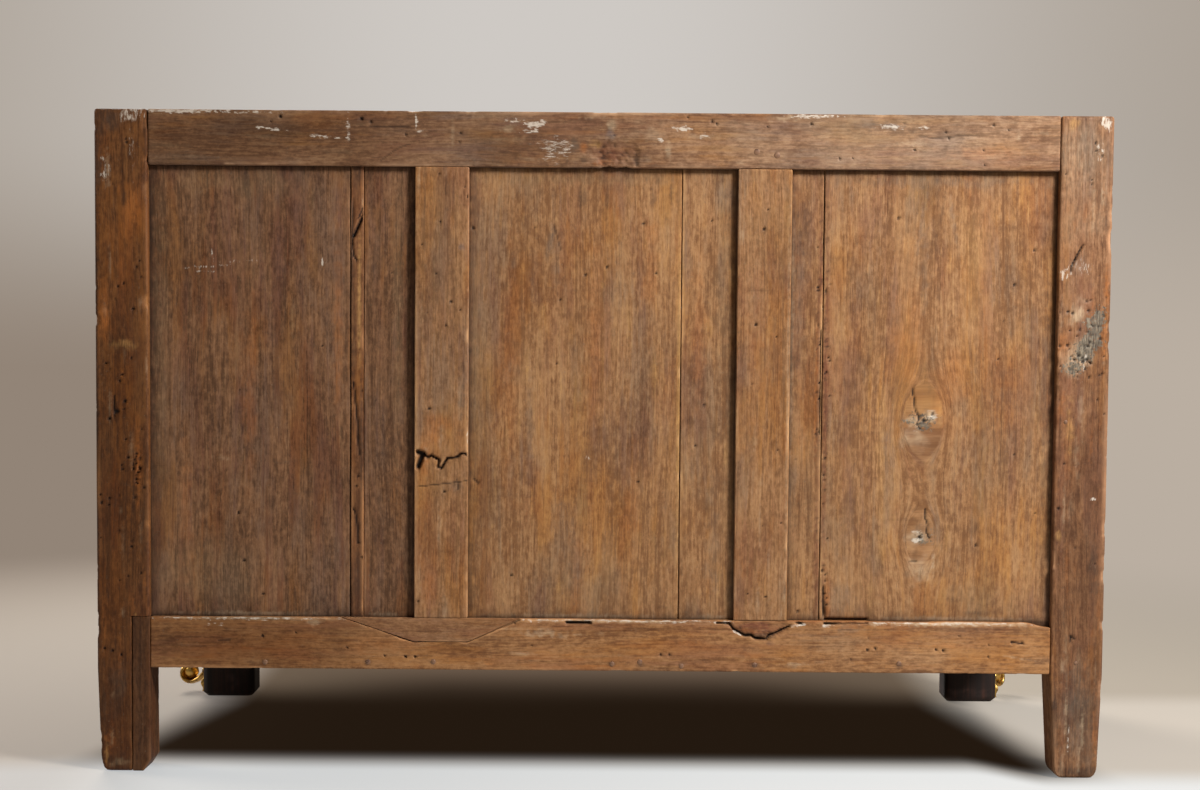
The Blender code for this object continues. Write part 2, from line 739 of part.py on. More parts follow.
def front_rails(root):
    back = FRONT_Y + FRONT_RAIL_DEEP
    for name, low, top, flare, thick in (
        ("front_top_rail", FRONT_TOP_RAIL_LOW, HEIGHT, DOVETAIL_FLARE, TOP_BOARD_THICK),
        ("upper_divider", UPPER_DIVIDER_LOW, UPPER_DIVIDER_TOP, 0.0, DUST_BOARD_THICK),
        ("lower_divider", LOWER_DIVIDER_LOW, LOWER_DIVIDER_TOP, 0.0, DUST_BOARD_THICK),
    ):
        rail = piece(name, "dark_veneer", root, prism(bowed_rail_outline(flare), "z", low, top))
        cut(rail, front_rebate(back, top, thick), bolt_mortise(low))


def apron_edge(x):
    """The apron's scalloped lower edge: a rounded drop in the middle and one towards each leg."""
    middle = APRON_DROP * math.exp(-((x / APRON_LOBE) ** 2))
    ends = APRON_END_DROP * (abs(x) / OPENING_HALF) ** APRON_END_SHARPNESS
    return APRON_EDGE - middle - ends


def front_apron(root):
    half = OPENING_HALF - FIT
    back = FRONT_Y + APRON_DEEP
    tip = half + FRONT_TENON_LONG
    middle = FRONT_Y + APRON_DEEP / 2
    tenon = (middle + FRONT_TENON_THICK / 2, middle - FRONT_TENON_THICK / 2, APRON_EDGE, APRON_TENON_TOP)
    steps = 2 * BOW_SEGMENTS
    places = [half * (2 * k / steps - 1) for k in range(steps + 1)]
    rings = [rail_ring(x, *tenon) for x in (-tip, -half)]
    rings += [rail_ring(x, back, bow_y(x), apron_edge(x), BOTTOM_TOP) for x in places]
    rings += [rail_ring(x, *tenon) for x in (half, tip)]
    apron = piece("front_apron", "dark_veneer", root, loft(rings))
    cut(apron, front_rebate(back, BOTTOM_TOP, BOTTOM_BOARD_THICK))


# Drawers: each is modelled from the middle of its opening's lower front edge, at the corner posts' front


def tail_outlines(low, high, root, tip, grow=0.0, past_root=0.0, past_tip=0.0):
    """The dovetails on one end of a drawer side, as (y, z) outlines from root to tip.

    For sockets they grow all round and run on past the root and the tip at the same slope.
    """
    pitch = (high - low) / TAILS
    way = math.copysign(1, tip - root)
    slope = TAIL_FLARE / abs(tip - root)
    wide = pitch * TAIL_SHARE / 2 + grow + slope * past_tip
    narrow = pitch * TAIL_SHARE / 2 + grow - TAIL_FLARE - slope * past_root
    y0, y1 = root - way * past_root, tip + way * past_tip
    middles = [low + pitch * (k + 0.5) for k in range(TAILS)]
    return [[(y0, z - narrow), (y1, z - wide), (y1, z + wide), (y0, z + narrow)] for z in middles]


def side_outline(low, high):
    """A drawer side in elevation, with dovetails at both ends."""
    front, rear = DRAWER_FRONT_THICK + FIT, DRAWER_DEEP - DRAWER_BACK_THICK - FIT
    outline = [(rear, low), (front, low)]
    for tail in tail_outlines(low, high, front, DRAWER_FRONT_THICK - TAIL_LONG):
        outline += tail
    outline += [(front, high), (rear, high)]
    for tail in reversed(tail_outlines(low, high, rear, DRAWER_DEEP)):
        outline += list(reversed(tail))
    return outline


def tail_sockets(low, high, root, tip, past_tip):
    """Cutters for both ends of a drawer front or back, a little larger than the tails they take."""
    inner, outer = DRAWER_HALF - DRAWER_SIDE_THICK - FIT, DRAWER_HALF + CUT_PAST
    sockets = []
    for side in (-1, 1):
        for tail in tail_outlines(low, high, root, tip, FIT, CUT_PAST, past_tip):
            sockets.append(prism(tail, "x", *sorted((side * inner, side * outer))))
    return sockets


def drawer_bottom_groove(x0, x1, y0, y1):
    low = DRAWER_BOTTOM_RISE
    return box((x0, y0, low - FIT), (x1, y1, low + DRAWER_BOTTOM_THICK + FIT))


def drawer_front(name, parent, high):
    low, top = FRONT_EDGE_GAP, high - FRONT_EDGE_GAP
    back = DRAWER_FRONT_THICK
    outline = [(x, y - FRONT_Y) for x, y in bow_line(DRAWER_HALF)]
    outline += [(DRAWER_HALF, back), (-DRAWER_HALF, back)]
    front = piece(f"{name}_front", "dark_veneer", parent, prism(outline, "z", low, top))
    cut(front, *tail_sockets(FIT, high - DRAWER_TOP_GAP, back + FIT, back - TAIL_LONG, FIT))
    inside = DRAWER_HALF - DRAWER_SIDE_THICK - FIT
    cut(front, drawer_bottom_groove(-inside, inside, back - DRAWER_GROOVE_DEEP, back + CUT_PAST))
    cut(
        front,
        box(
            (-LOCK_WIDE / 2 - FIT, back - LOCK_THICK - FIT, top - LOCK_HIGH - FIT),
            (LOCK_WIDE / 2 + FIT, back + CUT_PAST, top + CUT_PAST),
        ),
    )
    key_top = top - KEYHOLE_DROP + KEYHOLE_HIGH / 2
    cut(
        front,
        box(
            (-KEYHOLE_WIDE / 2, -BOW - CUT_PAST, key_top - KEYHOLE_HIGH),
            (KEYHOLE_WIDE / 2, back - LOCK_THICK / 2, key_top),
        ),
    )


def drawer_lock(name, parent, high):
    """The lock let into the drawer front's back, with its bolt withdrawn below the top edge."""
    top, back = high - FRONT_EDGE_GAP, DRAWER_FRONT_THICK
    middle = back - LOCK_THICK / 2
    case = piece(
        f"{name}_lock",
        "lock_iron",
        parent,
        box((-LOCK_WIDE / 2, back - LOCK_THICK, top - LOCK_HIGH), (LOCK_WIDE / 2, back, top)),
    )
    half_x, half_y = BOLT_WIDE / 2, BOLT_THICK / 2
    cut(
        case,
        box(
            (-half_x - FIT, middle - half_y - FIT, top - BOLT_HIGH - FIT),
            (half_x + FIT, middle + half_y + FIT, top + CUT_PAST),
        ),
    )
    bolt = piece(
        f"{name}_bolt",
        "lock_iron",
        parent,
        box((-half_x, -half_y, -BOLT_HIGH), (half_x, half_y, -FIT)),
    )
    bolt.location = (0, middle, top)


def drawer_box(name, parent, high):
    low, top = FIT, high - DRAWER_TOP_GAP
    inner = DRAWER_HALF - DRAWER_SIDE_THICK
    rear, back_front = DRAWER_DEEP, DRAWER_DEEP - DRAWER_BACK_THICK
    outline = side_outline(low, top)
    for word, side in (("left", -1), ("right", 1)):
        ends = sorted((side * inner, side * DRAWER_HALF))
        board_side = piece(f"{name}_{word}_side", "lining_oak", parent, prism(outline, "x", *ends))
        groove = sorted((side * (inner - CUT_PAST), side * (inner + DRAWER_GROOVE_DEEP)))
        tail_tip = DRAWER_FRONT_THICK - TAIL_LONG
        cut(board_side, drawer_bottom_groove(*groove, tail_tip - CUT_PAST, rear + CUT_PAST))
    bottom_top = DRAWER_BOTTOM_RISE + DRAWER_BOTTOM_THICK
    back = piece(
        f"{name}_back",
        "lining_oak",
        parent,
        box((-DRAWER_HALF, back_front, bottom_top + FIT), (DRAWER_HALF, rear, top - DRAWER_BACK_DROP)),
    )
    cut(back, *tail_sockets(low, top, back_front - FIT, rear, CUT_PAST))
    in_groove = inner + DRAWER_GROOVE_DEEP - HOUSING_PLAY
    front_edge = DRAWER_FRONT_THICK - DRAWER_GROOVE_DEEP + HOUSING_PLAY
    past_front = inner - HOUSING_PLAY
    shoulder = DRAWER_FRONT_THICK + HOUSING_PLAY
    bottom = [
        (past_front, front_edge),
        (past_front, shoulder),
        (in_groove, shoulder),
        (in_groove, rear),
    ]
    bottom += [(-x, y) for x, y in reversed(bottom)]
    piece(f"{name}_bottom", "lining_oak", parent, prism(bottom, "z", DRAWER_BOTTOM_RISE, bottom_top))


# Drop handles: modelled from the middle of the plate's back, which lies on the drawer front


def plate_outline(scale):
    """A lobed oval: an ellipse that swells and narrows as it goes round."""
    outline = []
    for k in range(PLATE_POINTS):
        a = 2 * math.pi * k / PLATE_POINTS
        reach = scale * (1 + PLATE_SWELL * math.cos(PLATE_LOBES * a)) / (1 + PLATE_SWELL)
        outline.append((PLATE_HALF_LONG * reach * math.cos(a), PLATE_HALF_HIGH * reach * math.sin(a)))
    return outline


def handle_plate(name, parent, place, turn):
    edge = PLATE_THICK / 2
    rings = []
    for y, scale in ((0.0, 1.0), (-edge, 1.0), (-PLATE_THICK, 1 - PLATE_BEVEL / PLATE_HALF_HIGH)):
        rings.append([(x, y, z) for x, z in plate_outline(scale)])
    plate = piece(f"{name}_plate", "gilt_bronze", parent, loft(rings))
    plate.location = place
    plate.rotation_euler = (0, 0, turn)
    wide, neck = HANDLE_POST_RADIUS, HANDLE_NECK_RADIUS
    profile = [(edge, wide), (PLATE_THICK + edge, wide), (PLATE_THICK + 2 * edge, neck)]
    profile += [(PIVOT_REACH - wide / 2, wide), (PIVOT_REACH + wide / 2, wide), (PIVOT_REACH + wide, neck)]
    posts = [turned(profile, ROUND_SIDES, side * HANDLE_POST_OUT, HANDLE_POST_RISE) for side in (-1, 1)]
    join(plate, *posts)
    angles = [2 * math.pi * k / TUBE_SIDES for k in range(TUBE_SIDES)]
    hole = [(math.cos(a) * PIN_HOLE_RADIUS - PIVOT_REACH, math.sin(a) * PIN_HOLE_RADIUS) for a in angles]
    hole = [(y, HANDLE_POST_RISE + z) for y, z in hole]
    hole_end = HANDLE_POST_OUT + HOUSING_PLAY
    reach = POST_FACE - CUT_PAST
    cut(plate, prism(hole, "x", -hole_end, -reach), prism(hole, "x", reach, hole_end))


def bail_path():
    """Half a bail from its pin to its lowest point, then mirrored: a pin, a bend and a squared-off curve."""
    bend = BAIL_RADIUS
    path = [(HANDLE_POST_OUT, 0.0), (POST_FACE - FIT, 0.0)]
    path += [(BAIL_HALF_WIDE + bend, 0.0), (BAIL_HALF_WIDE + bend / 3, -bend / 3)]
    for k in range(1, BAIL_STEPS + 1):
        a = math.pi / 2 * k / BAIL_STEPS
        path.append((BAIL_HALF_WIDE * math.cos(a) ** BAIL_SQUARE_X, -BAIL_DROP * math.sin(a) ** BAIL_SQUARE_Z))
    path[-1] = (0.0, -BAIL_DROP)
    return path + [(-x, z) for x, z in reversed(path[:-1])]


def bail_radius(index, last):
    """Thin at the pins, then growing to a swelling in the middle of the grip."""
    if min(index, last - index) <= 1:
        return PIN_RADIUS
    return BAIL_RADIUS + BAIL_SWELL * math.sin(math.pi * index / last) ** 6


def handle_bail(name, parent, place, turn):
    path = bail_path()
    radii = [bail_radius(i, len(path) - 1) for i in range(len(path))]
    bail = piece(f"{name}_bail", "gilt_bronze", parent, tube(path, radii, TUBE_SIDES))
    out = Vector((math.sin(turn), -math.cos(turn), 0))
    bail.location = Vector(place) + PIVOT_REACH * out + Vector((0, 0, HANDLE_POST_RISE))
    bail.rotation_euler = (0, 0, turn)


def handles(name, parent, high):
    for word, side in (("left", -1), ("right", 1)):
        x = side * HANDLE_OUT
        turn = math.atan(2 * BOW * x / OPENING_HALF**2)
        out = Vector((math.sin(turn), -math.cos(turn), 0))
        place = Vector((x, bow_y(x) - FRONT_Y, high / 2)) + FIT * out
        handle_plate(f"{name}_{word}_handle", parent, place, turn)
        handle_bail(f"{name}_{word}_handle", parent, place, turn)


def drawers(root):
    for name, low, top in (
        ("bottom_drawer", BOTTOM_TOP, LOWER_DIVIDER_LOW),
        ("middle_drawer", LOWER_DIVIDER_TOP, UPPER_DIVIDER_LOW),
        ("top_drawer", UPPER_DIVIDER_TOP, FRONT_TOP_RAIL_LOW),
    ):
        place = empty(f"{name}_slide", (0, FRONT_Y, low), root)
        drawer_front(name, place, top - low)
        drawer_box(name, place, top - low)
        drawer_lock(name, place, top - low)
        handles(name, place, top - low)


def centre_front_to_back(root):
    """Moves the carrying empty so that the commode reaches equally far to the front and the back."""
    depsgraph = bpy.context.evaluated_depsgraph_get()
    places = []
    for obj in bpy.context.scene.objects:
        if obj.type == "MESH" and not obj.hide_render:
            shape = obj.evaluated_get(depsgraph)
            places += [(shape.matrix_world @ vertex.co).y for vertex in shape.data.vertices]
    root.location.y = -(min(places) + max(places)) / 2


def main():
    for obj in list(bpy.data.objects):
        bpy.data.objects.remove(obj)
    root = empty("commode", (0, 0, 0))
    rear_posts(root)
    rear_leg_splice(root)
    rear_rails(root)
    muntins(root)
    back_panels(root)
    front_posts(root)
    sabots(root)
    side_panels(root)
    carcass_boards(root)
    front_rails(root)
    front_apron(root)
    drawers(root)
    centre_front_to_back(root)


main()
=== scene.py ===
"""Looks of an antique commode: an old oak back, veneered front and sides, gilt mounts, in a plain studio."""

from __future__ import annotations

import json
import logging
import math
from collections.abc import Callable, Sequence
from dataclasses import dataclass, field
from enum import Enum
from typing import ClassVar

import bpy
import numpy as np
from mathutils import Matrix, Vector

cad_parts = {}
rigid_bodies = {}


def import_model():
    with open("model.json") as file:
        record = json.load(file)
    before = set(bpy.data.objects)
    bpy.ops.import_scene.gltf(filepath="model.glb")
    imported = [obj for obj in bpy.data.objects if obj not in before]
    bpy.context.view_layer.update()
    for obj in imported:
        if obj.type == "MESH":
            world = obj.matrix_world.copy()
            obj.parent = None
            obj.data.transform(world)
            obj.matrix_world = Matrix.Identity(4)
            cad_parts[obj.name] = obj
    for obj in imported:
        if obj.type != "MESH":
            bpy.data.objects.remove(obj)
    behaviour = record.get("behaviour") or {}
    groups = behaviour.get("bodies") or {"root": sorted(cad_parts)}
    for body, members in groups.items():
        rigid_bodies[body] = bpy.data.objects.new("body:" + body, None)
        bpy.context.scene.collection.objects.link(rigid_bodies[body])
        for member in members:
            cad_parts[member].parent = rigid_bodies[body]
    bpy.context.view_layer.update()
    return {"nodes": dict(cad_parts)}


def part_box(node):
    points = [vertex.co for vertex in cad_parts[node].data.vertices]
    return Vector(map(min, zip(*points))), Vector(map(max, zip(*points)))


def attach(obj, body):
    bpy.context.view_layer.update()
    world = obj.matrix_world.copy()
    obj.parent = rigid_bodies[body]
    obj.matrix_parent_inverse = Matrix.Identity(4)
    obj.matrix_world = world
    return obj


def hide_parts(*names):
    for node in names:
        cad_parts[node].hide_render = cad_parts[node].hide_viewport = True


Array = np.ndarray
Colour = tuple[float, float, float, float]
Screen = tuple[int, int, int]
Spot = tuple[float, float]
Edge = Callable[[Array], Array]
Socket = bpy.types.NodeSocket
Node = bpy.types.Node
Material = bpy.types.Material

log = logging.getLogger("commode")
MM = 0.001
CARCASS = "carcass"
DRAWERS = ("bottom_drawer", "middle_drawer", "top_drawer")
SIDES = (("left", -1), ("right", 1))


def around(count: int) -> Array:
    """Angles evenly round a full turn, as one row."""
    return np.linspace(0, 2 * math.pi, count, endpoint=False)[None, :]


def srgb(red: float, green: float, blue: float) -> Colour:
    """Linear colour of a screen colour given from 0 to 255."""
    share = np.array([red, green, blue]) / 255
    linear = np.where(share <= 0.04045, share / 12.92, ((share + 0.055) / 1.055) ** 2.4)
    return (*(float(value) for value in linear), 1.0)


def eased(value: Array, low: float, high: float) -> Array:
    """Rises smoothly from 0 at low to 1 at high: 3t squared less 2t cubed."""
    share = np.clip((value - low) / (high - low), 0, 1)
    return share * share * (3 - 2 * share)


class Noise:
    """Smooth random values between -1 and 1, the same each run."""

    CELLS = 128

    def __init__(self, seed: int) -> None:
        """Draws the lattice of values from a seed."""
        self.values = np.random.default_rng(seed).uniform(-1, 1, (self.CELLS, self.CELLS))

    def at(self, u: Array, v: Array) -> Array:
        """Blends the four lattice values round each point, eased in both directions.

        Args:
            u: first coordinate, in cells.
            v: second coordinate, in cells.

        Returns:
            A value between -1 and 1 for each point.
        """
        i, j = np.floor(u).astype(int), np.floor(v).astype(int)
        s, t = eased(u - i, 0, 1), eased(v - j, 0, 1)
        i, j = i % self.CELLS, j % self.CELLS
        i_next, j_next = (i + 1) % self.CELLS, (j + 1) % self.CELLS
        low = self.values[i, j] * (1 - s) + self.values[i_next, j] * s
        high = self.values[i, j_next] * (1 - s) + self.values[i_next, j_next] * s
        return low * (1 - t) + high * t

    def layered(self, u: Array, v: Array, layers: int = 3) -> Array:
        """Sums layers, each of half the size and half the weight of the one before."""
        return sum(self.at(u * 2**k + 17.3 * k, v * 2**k + 9.1 * k) / 2**k for k in range(layers)) / 2


class Pigment(Enum):
    """What stains the old oak, as a screen colour; SHADOW is partly darker wood and partly painted shade."""

    CHALK = (214, 201, 184)
    ROT = (110, 100, 86)
    DUST = (188, 162, 130)
    GREY = (116, 98, 82)
    SOOT = (74, 56, 44)
    BLUE = (118, 108, 106)
    PURPLE = (108, 76, 62)
    ORANGE = (170, 102, 48)
    YELLOW = (190, 144, 86)
    RUSSET = (112, 66, 44)
    UMBER = (88, 56, 34)
    OLIVE = (134, 106, 76)
    # SHADOW: partly darker wood, partly painted shade where the back lies in less light; multiplied over the
    # wood.
    SHADOW = (70, 42, 22)

    @property
    def linear(self) -> Array:
        """The pigment as linear light."""
        return np.array(srgb(*self.value)[:3])

    @property
    def crisp(self) -> bool:
        """Whether it lies on the wood with a rim, rather than soaked into it."""
        return self in (Pigment.CHALK, Pigment.ROT)


@dataclass
class Face:
    """A board's seen face while it is aged. Places are in millimetres, right and up as it is looked at."""

    right: Array
    up: Array
    seen: Array
    noise: Noise
    relief: Array = field(init=False)
    stain: Array = field(init=False)
    cover: Array = field(init=False)
    shade: Array = field(init=False)
    flow: Array = field(init=False)
    chalk: Array = field(init=False)
    rot: Array = field(init=False)
    gloom: Array = field(init=False)

    def __post_init__(self) -> None:
        """Starts with a clean, flat face."""
        self.relief, self.cover, self.shade, self.flow = (np.zeros_like(self.right) for _ in range(4))
        self.chalk, self.rot, self.gloom = (np.zeros_like(self.right) for _ in range(3))
        self.stain = np.zeros((*self.right.shape, 3))

    def paint(self, pigment: Pigment, amount: Array) -> None:
        """Lays a pigment over what is there already, by its share of each point.

        Args:
            pigment: what is laid on.
            amount: its share of each point, before it is clipped.
        """
        share = np.clip(amount, 0, 1) * self.seen
        if pigment is Pigment.CHALK:
            self.chalk = np.maximum(self.chalk, share)
            return
        if pigment is Pigment.ROT:
            self.rot = np.maximum(self.rot, share)
            return
        # SHADOW is kept apart: partly darker wood, partly painted shade.
        if pigment is Pigment.SHADOW:
            self.gloom = np.maximum(self.gloom, share)
            return
        self.stain = self.stain * (1 - share[..., None]) + pigment.linear * share[..., None]
        self.cover = self.cover * (1 - share) + share

    def sink(self, amount: Array) -> None:
        """Lowers the face by millimetres."""
        self.relief -= amount * self.seen

    def darken(self, amount: Array) -> None:
        """Shades holes and cracks, keeping the darker of two."""
        self.shade = np.maximum(self.shade, np.clip(amount, 0, 1) * self.seen)


@dataclass(frozen=True)
class Smear:
    """A stained or worn patch: an ellipse whose rim is moved in and out by noise."""

    pigment: Pigment
    right: float
    up: float
    wide: float
    high: float
    strength: float
    ragged: float = 0.6
    turn: float = 0.0
    rough: float = 0.0
    sunk: float = 0.0

    def apply(self, face: Face) -> None:
        """Paints, roughens and sinks where 1 less the distance in half-sizes, plus noise, is above 0.

        Args:
            face: the face that is marked.
        """
        angle = math.radians(self.turn)
        x, z = face.right - self.right, face.up - self.up
        u = (math.cos(angle) * x + math.sin(angle) * z) / self.wide
        v = (math.cos(angle) * z - math.sin(angle) * x) / self.high
        grain = max(min(self.wide, self.high), 3.0)
        noise = face.noise.layered(face.right / grain, face.up / grain, 4)
        inside = np.clip(1.15 - np.hypot(u, v) + self.ragged * noise, 0, 1)
        share = np.clip(inside * 1.6, 0, 1) if self.pigment.crisp else 0.75 * eased(inside, 0, 1.1)
        face.paint(self.pigment, share * self.strength)
        if self.rough or self.sunk:
            crumble = face.noise.layered(face.right / 4.5 + 31, face.up / 3.5 + 7, 4)
            face.sink(eased(inside, 0, 0.5) * (self.sunk + self.rough * crumble))
            face.darken(eased(inside, 0, 0.6) * np.clip(crumble * 1.6 - 0.25, 0, 0.8))


@dataclass(frozen=True)
class Pit:
    """A worm hole or nail hole."""

    right: float
    up: float
    radius: float = 1.7
    deep: float = 2.5

    def apply(self, face: Face) -> None:
        """Sinks a small round cup and darkens it: full inside the radius, gone a millimetre past it.

        Args:
            face: the face that is marked.
        """
        away = np.hypot(face.right - self.right, face.up - self.up)
        inside = 1 - eased(away, self.radius * 0.55, self.radius + 0.9)
        face.sink(inside * self.deep)
        face.darken(inside)


@dataclass(frozen=True)
class Crack:
    """An open split along a line of points, narrowing to its ends unless it is blunt."""

    line: tuple[Spot, ...]
    wide: float = 1.4
    deep: float = 4.0
    blunt: bool = False
    dark: float = 1.0

    def apply(self, face: Face) -> None:
        """Opens the wood where the least distance to the line's segments is under half the width.

        Args:
            face: the face that is marked.
        """
        total = sum(math.dist(a, b) for a, b in zip(self.line, self.line[1:]))
        least, place, run = np.full(face.right.shape, 1e6), np.zeros(face.right.shape), 0.0
        for (x0, z0), (x1, z1) in zip(self.line, self.line[1:]):
            long = math.hypot(x1 - x0, z1 - z0)
            share = ((face.right - x0) * (x1 - x0) + (face.up - z0) * (z1 - z0)) / long**2
            share = np.clip(share, 0, 1)
            away = np.hypot(face.right - x0 - share * (x1 - x0), face.up - z0 - share * (z1 - z0))
            place = np.where(away < least, (run + share * long) / total, place)
            least = np.minimum(least, away)
            run += long
        taper = 1.0 if self.blunt else np.sqrt(np.clip(4 * place * (1 - place), 0, 1))
        half = self.wide / 2 * taper + 0.25
        inside = 1 - eased(least / (half + 0.7), 0.35, 1.0)
        face.sink(inside * self.deep)
        face.darken(inside * self.dark)


@dataclass(frozen=True)
class Knot:
    """A knot that the grain flows round, with a crumbling pale eye."""

    right: float
    up: float
    radius: float
    pale: float = 0.7

    def apply(self, face: Face) -> None:
        """Bends the grain as a stream round a post: across times the squared ratio of radius to distance.

        Args:
            face: the face that is marked.
        """
        x, z = face.right - self.right, (face.up - self.up) * 0.55
        square = x * x + z * z + 9.0
        face.flow -= x * np.minimum(self.radius**2 / square, 1.0) * MM
        for pigment, size, strength in ((Pigment.ROT, 0.8, 0.6), (Pigment.CHALK, 0.5, self.pale)):
            reach = self.radius * size
            Smear(pigment, self.right, self.up, reach, 0.6 * reach, strength, 1.1, rough=0.4).apply(face)
        Pit(self.right, self.up, self.radius * 0.1, 1.5).apply(face)


@dataclass(frozen=True)
class GrimeAndShade:
    """Dirt and painted shade gathered along the sides of an opening, where the frame stands over the panel,
    and a paler, bare middle.
    """

    low: Spot
    high: Spot
    reach: float = 4.0
    dark: float = 0.7

    def apply(self, face: Face) -> None:
        """Darkens by the exponential of the distance from the nearest side, more or less by noise: painted
        shade, with soot for the dirt.

        Args:
            face: the face that is marked.
        """
        beside = np.minimum(face.right - self.low[0], self.high[0] - face.right)
        above = np.minimum(face.up - self.low[1], self.high[1] - face.up)
        away = np.clip(np.minimum(beside, above), 0, None)
        noise = face.noise.layered(face.right / 9 + 3, face.up / 9 + 8, 3)
        # Painted shade in the recess along the frame, laid into the shade layer.
        face.darken(self.dark * np.exp(-away / (self.reach * (1 + 0.7 * noise))))
        face.paint(Pigment.SOOT, 0.3 * np.exp(-away / (self.reach * 3)) * (1 + noise))


Mark = Smear | Pit | Crack | Knot | GrimeAndShade


def worms(seed: int, count: int, low: Spot, high: Spot) -> list[Mark]:
    """Scatters worm holes over a rectangle.

    Args:
        seed: seed of the draw.
        count: how many holes.
        low: left and lower bound, in millimetres.
        high: right and upper bound, in millimetres.

    Returns:
        The holes, most of them small.
    """
    draw = np.random.default_rng(seed)
    places = draw.uniform(low, high, (count, 2))
    sizes = 0.5 + 1.1 * draw.random(count) ** 2
    return [Pit(float(x), float(z), float(size)) for (x, z), size in zip(places, sizes)]


def scuffs(draws: Sequence[tuple[int, int, Pigment]], low: Spot, high: Spot, along_up: bool) -> list[Mark]:
    """Scatters thin scuffs that follow the grain over a rectangle.

    Args:
        draws: for each pigment, the seed of the draw, how many scuffs and the pigment.
        low: left and lower bound, in millimetres.
        high: right and upper bound, in millimetres.
        along_up: whether the grain runs upwards.

    Returns:
        The scuffs.
    """
    least, most = (*low, 6, 1.2, 0.10), (*high, 34, 4.0, 0.42)
    found: list[Mark] = []
    for seed, count, pigment in draws:
        drawn = np.random.default_rng(seed).uniform(least, most, (count, 5))
        for x, z, long, thick, strength in drawn.tolist():
            wide, tall = (thick, long) if along_up else (long, thick)
            found.append(Smear(pigment, x, z, wide, tall, strength, 0.9))
    return found


def smears(*items: Pigment | tuple[float, ...]) -> list[Mark]:
    """Smears in the order in which they are laid.

    Args:
        items: each pigment, then its rows of right, up, wide, high, strength, ragged, turn, rough, sunk.

    Returns:
        The smears.
    """
    found: list[Mark] = []
    pigment = Pigment.DUST
    for item in items:
        if isinstance(item, Pigment):
            pigment = item
        else:
            found.append(Smear(pigment, *item))
    return found


def pits(radius: float, *spots: Spot) -> list[Mark]:
    """Holes of one radius."""
    return [Pit(right, up, radius) for right, up in spots]


@dataclass
class Shape:
    """A closed surface: points, four-sided faces, end caps and the values carried by its points."""

    points: Array
    quads: Array
    caps: list[Array] = field(default_factory=list)
    layers: dict[str, Array] = field(default_factory=dict)

    @staticmethod
    def of(grid: Array, layers: dict[str, Array] | None = None, ring: bool = False) -> Shape:
        """Closes a grid of points whose columns go round and whose rows go along.

        Args:
            grid: points, rows by columns by three.
            layers: values for the same grid.
            ring: whether the last row joins the first; otherwise both ends are capped.

        Returns:
            The surface, turned so that it faces out.
        """
        rows, columns = grid.shape[:2]
        index = np.arange(rows * columns).reshape(rows, columns)
        after = np.roll(index, -1, axis=1)
        low, high = (index, np.roll(index, -1, axis=0)) if ring else (index[:-1], index[1:])
        low_next, high_next = (after, np.roll(after, -1, axis=0)) if ring else (after[:-1], after[1:])
        quads = np.stack([low, low_next, high_next, high], axis=-1).reshape(-1, 4)
        caps = [] if ring else [index[0][::-1].copy(), index[-1].copy()]
        flat = {key: value.reshape(rows * columns, *value.shape[2:]) for key, value in (layers or {}).items()}
        made = Shape(grid.reshape(-1, 3), quads, caps, flat)
        if made.volume() < 0:
            made.quads = made.quads[:, ::-1]
            made.caps = [cap[::-1].copy() for cap in made.caps]
        return made

    def volume(self) -> float:
        """Six times the signed volume is the sum of each triangle's triple product.

        Returns:
            The volume, below nought if it is inside out.
        """
        p = self.points - self.points.mean(axis=0)
        a, b, c, d = (p[self.quads[:, k]] for k in range(4))
        total = np.sum(a * np.cross(b, c)) + np.sum(a * np.cross(c, d))
        for cap in self.caps:
            rim = p[cap]
            total += np.sum(rim.mean(axis=0) * np.cross(rim, np.roll(rim, -1, axis=0)))
        return float(total) / 6

    @staticmethod
    def joined(shapes: Sequence[Shape]) -> Shape:
        """Several closed surfaces kept in one mesh.

        Args:
            shapes: the surfaces, with the same layers.

        Returns:
            One surface.
        """
        starts = np.cumsum([0] + [len(shape.points) for shape in shapes])
        layers = {key: np.concatenate([shape.layers[key] for shape in shapes]) for key in shapes[0].layers}
        return Shape(
            np.concatenate([shape.points for shape in shapes]),
            np.concatenate([shape.quads + start for shape, start in zip(shapes, starts)]),
            [cap + start for shape, start in zip(shapes, starts) for cap in shape.caps],
            layers,
        )

    def mesh(self, name: str) -> bpy.types.Mesh:
        """Puts the arrays into a mesh, with each layer as a point attribute.

        Args:
            name: the mesh's name.

        Returns:
            The mesh.
        """
        mesh = bpy.data.meshes.new(name)
        loops = np.concatenate([self.quads.ravel(), *self.caps]).astype(np.int32)
        rims = [len(cap) for cap in self.caps]
        sizes = np.concatenate([np.full(len(self.quads), 4), rims]).astype(np.int32)
        mesh.vertices.add(len(self.points))
        mesh.vertices.foreach_set("co", self.points.astype(np.float32).ravel())
        mesh.loops.add(len(loops))
        mesh.loops.foreach_set("vertex_index", loops)
        mesh.polygons.add(len(sizes))
        mesh.polygons.foreach_set("loop_start", np.concatenate([[0], np.cumsum(sizes)[:-1]]).astype(np.int32))
        mesh.polygons.foreach_set("use_smooth", sizes == 4)
        mesh.update(calc_edges=True)
        kinds = {1: ("FLOAT", "value"), 3: ("FLOAT_VECTOR", "vector"), 4: ("FLOAT_COLOR", "color")}
        for key, value in self.layers.items():
            kind, slot = kinds[1 if value.ndim == 1 else value.shape[1]]
            layer = mesh.attributes.new(key, kind, "POINT")
            layer.data.foreach_set(slot, value.astype(np.float32).ravel())
        return mesh


Hollow = tuple[tuple[float, float, float], tuple[float, float, float]]


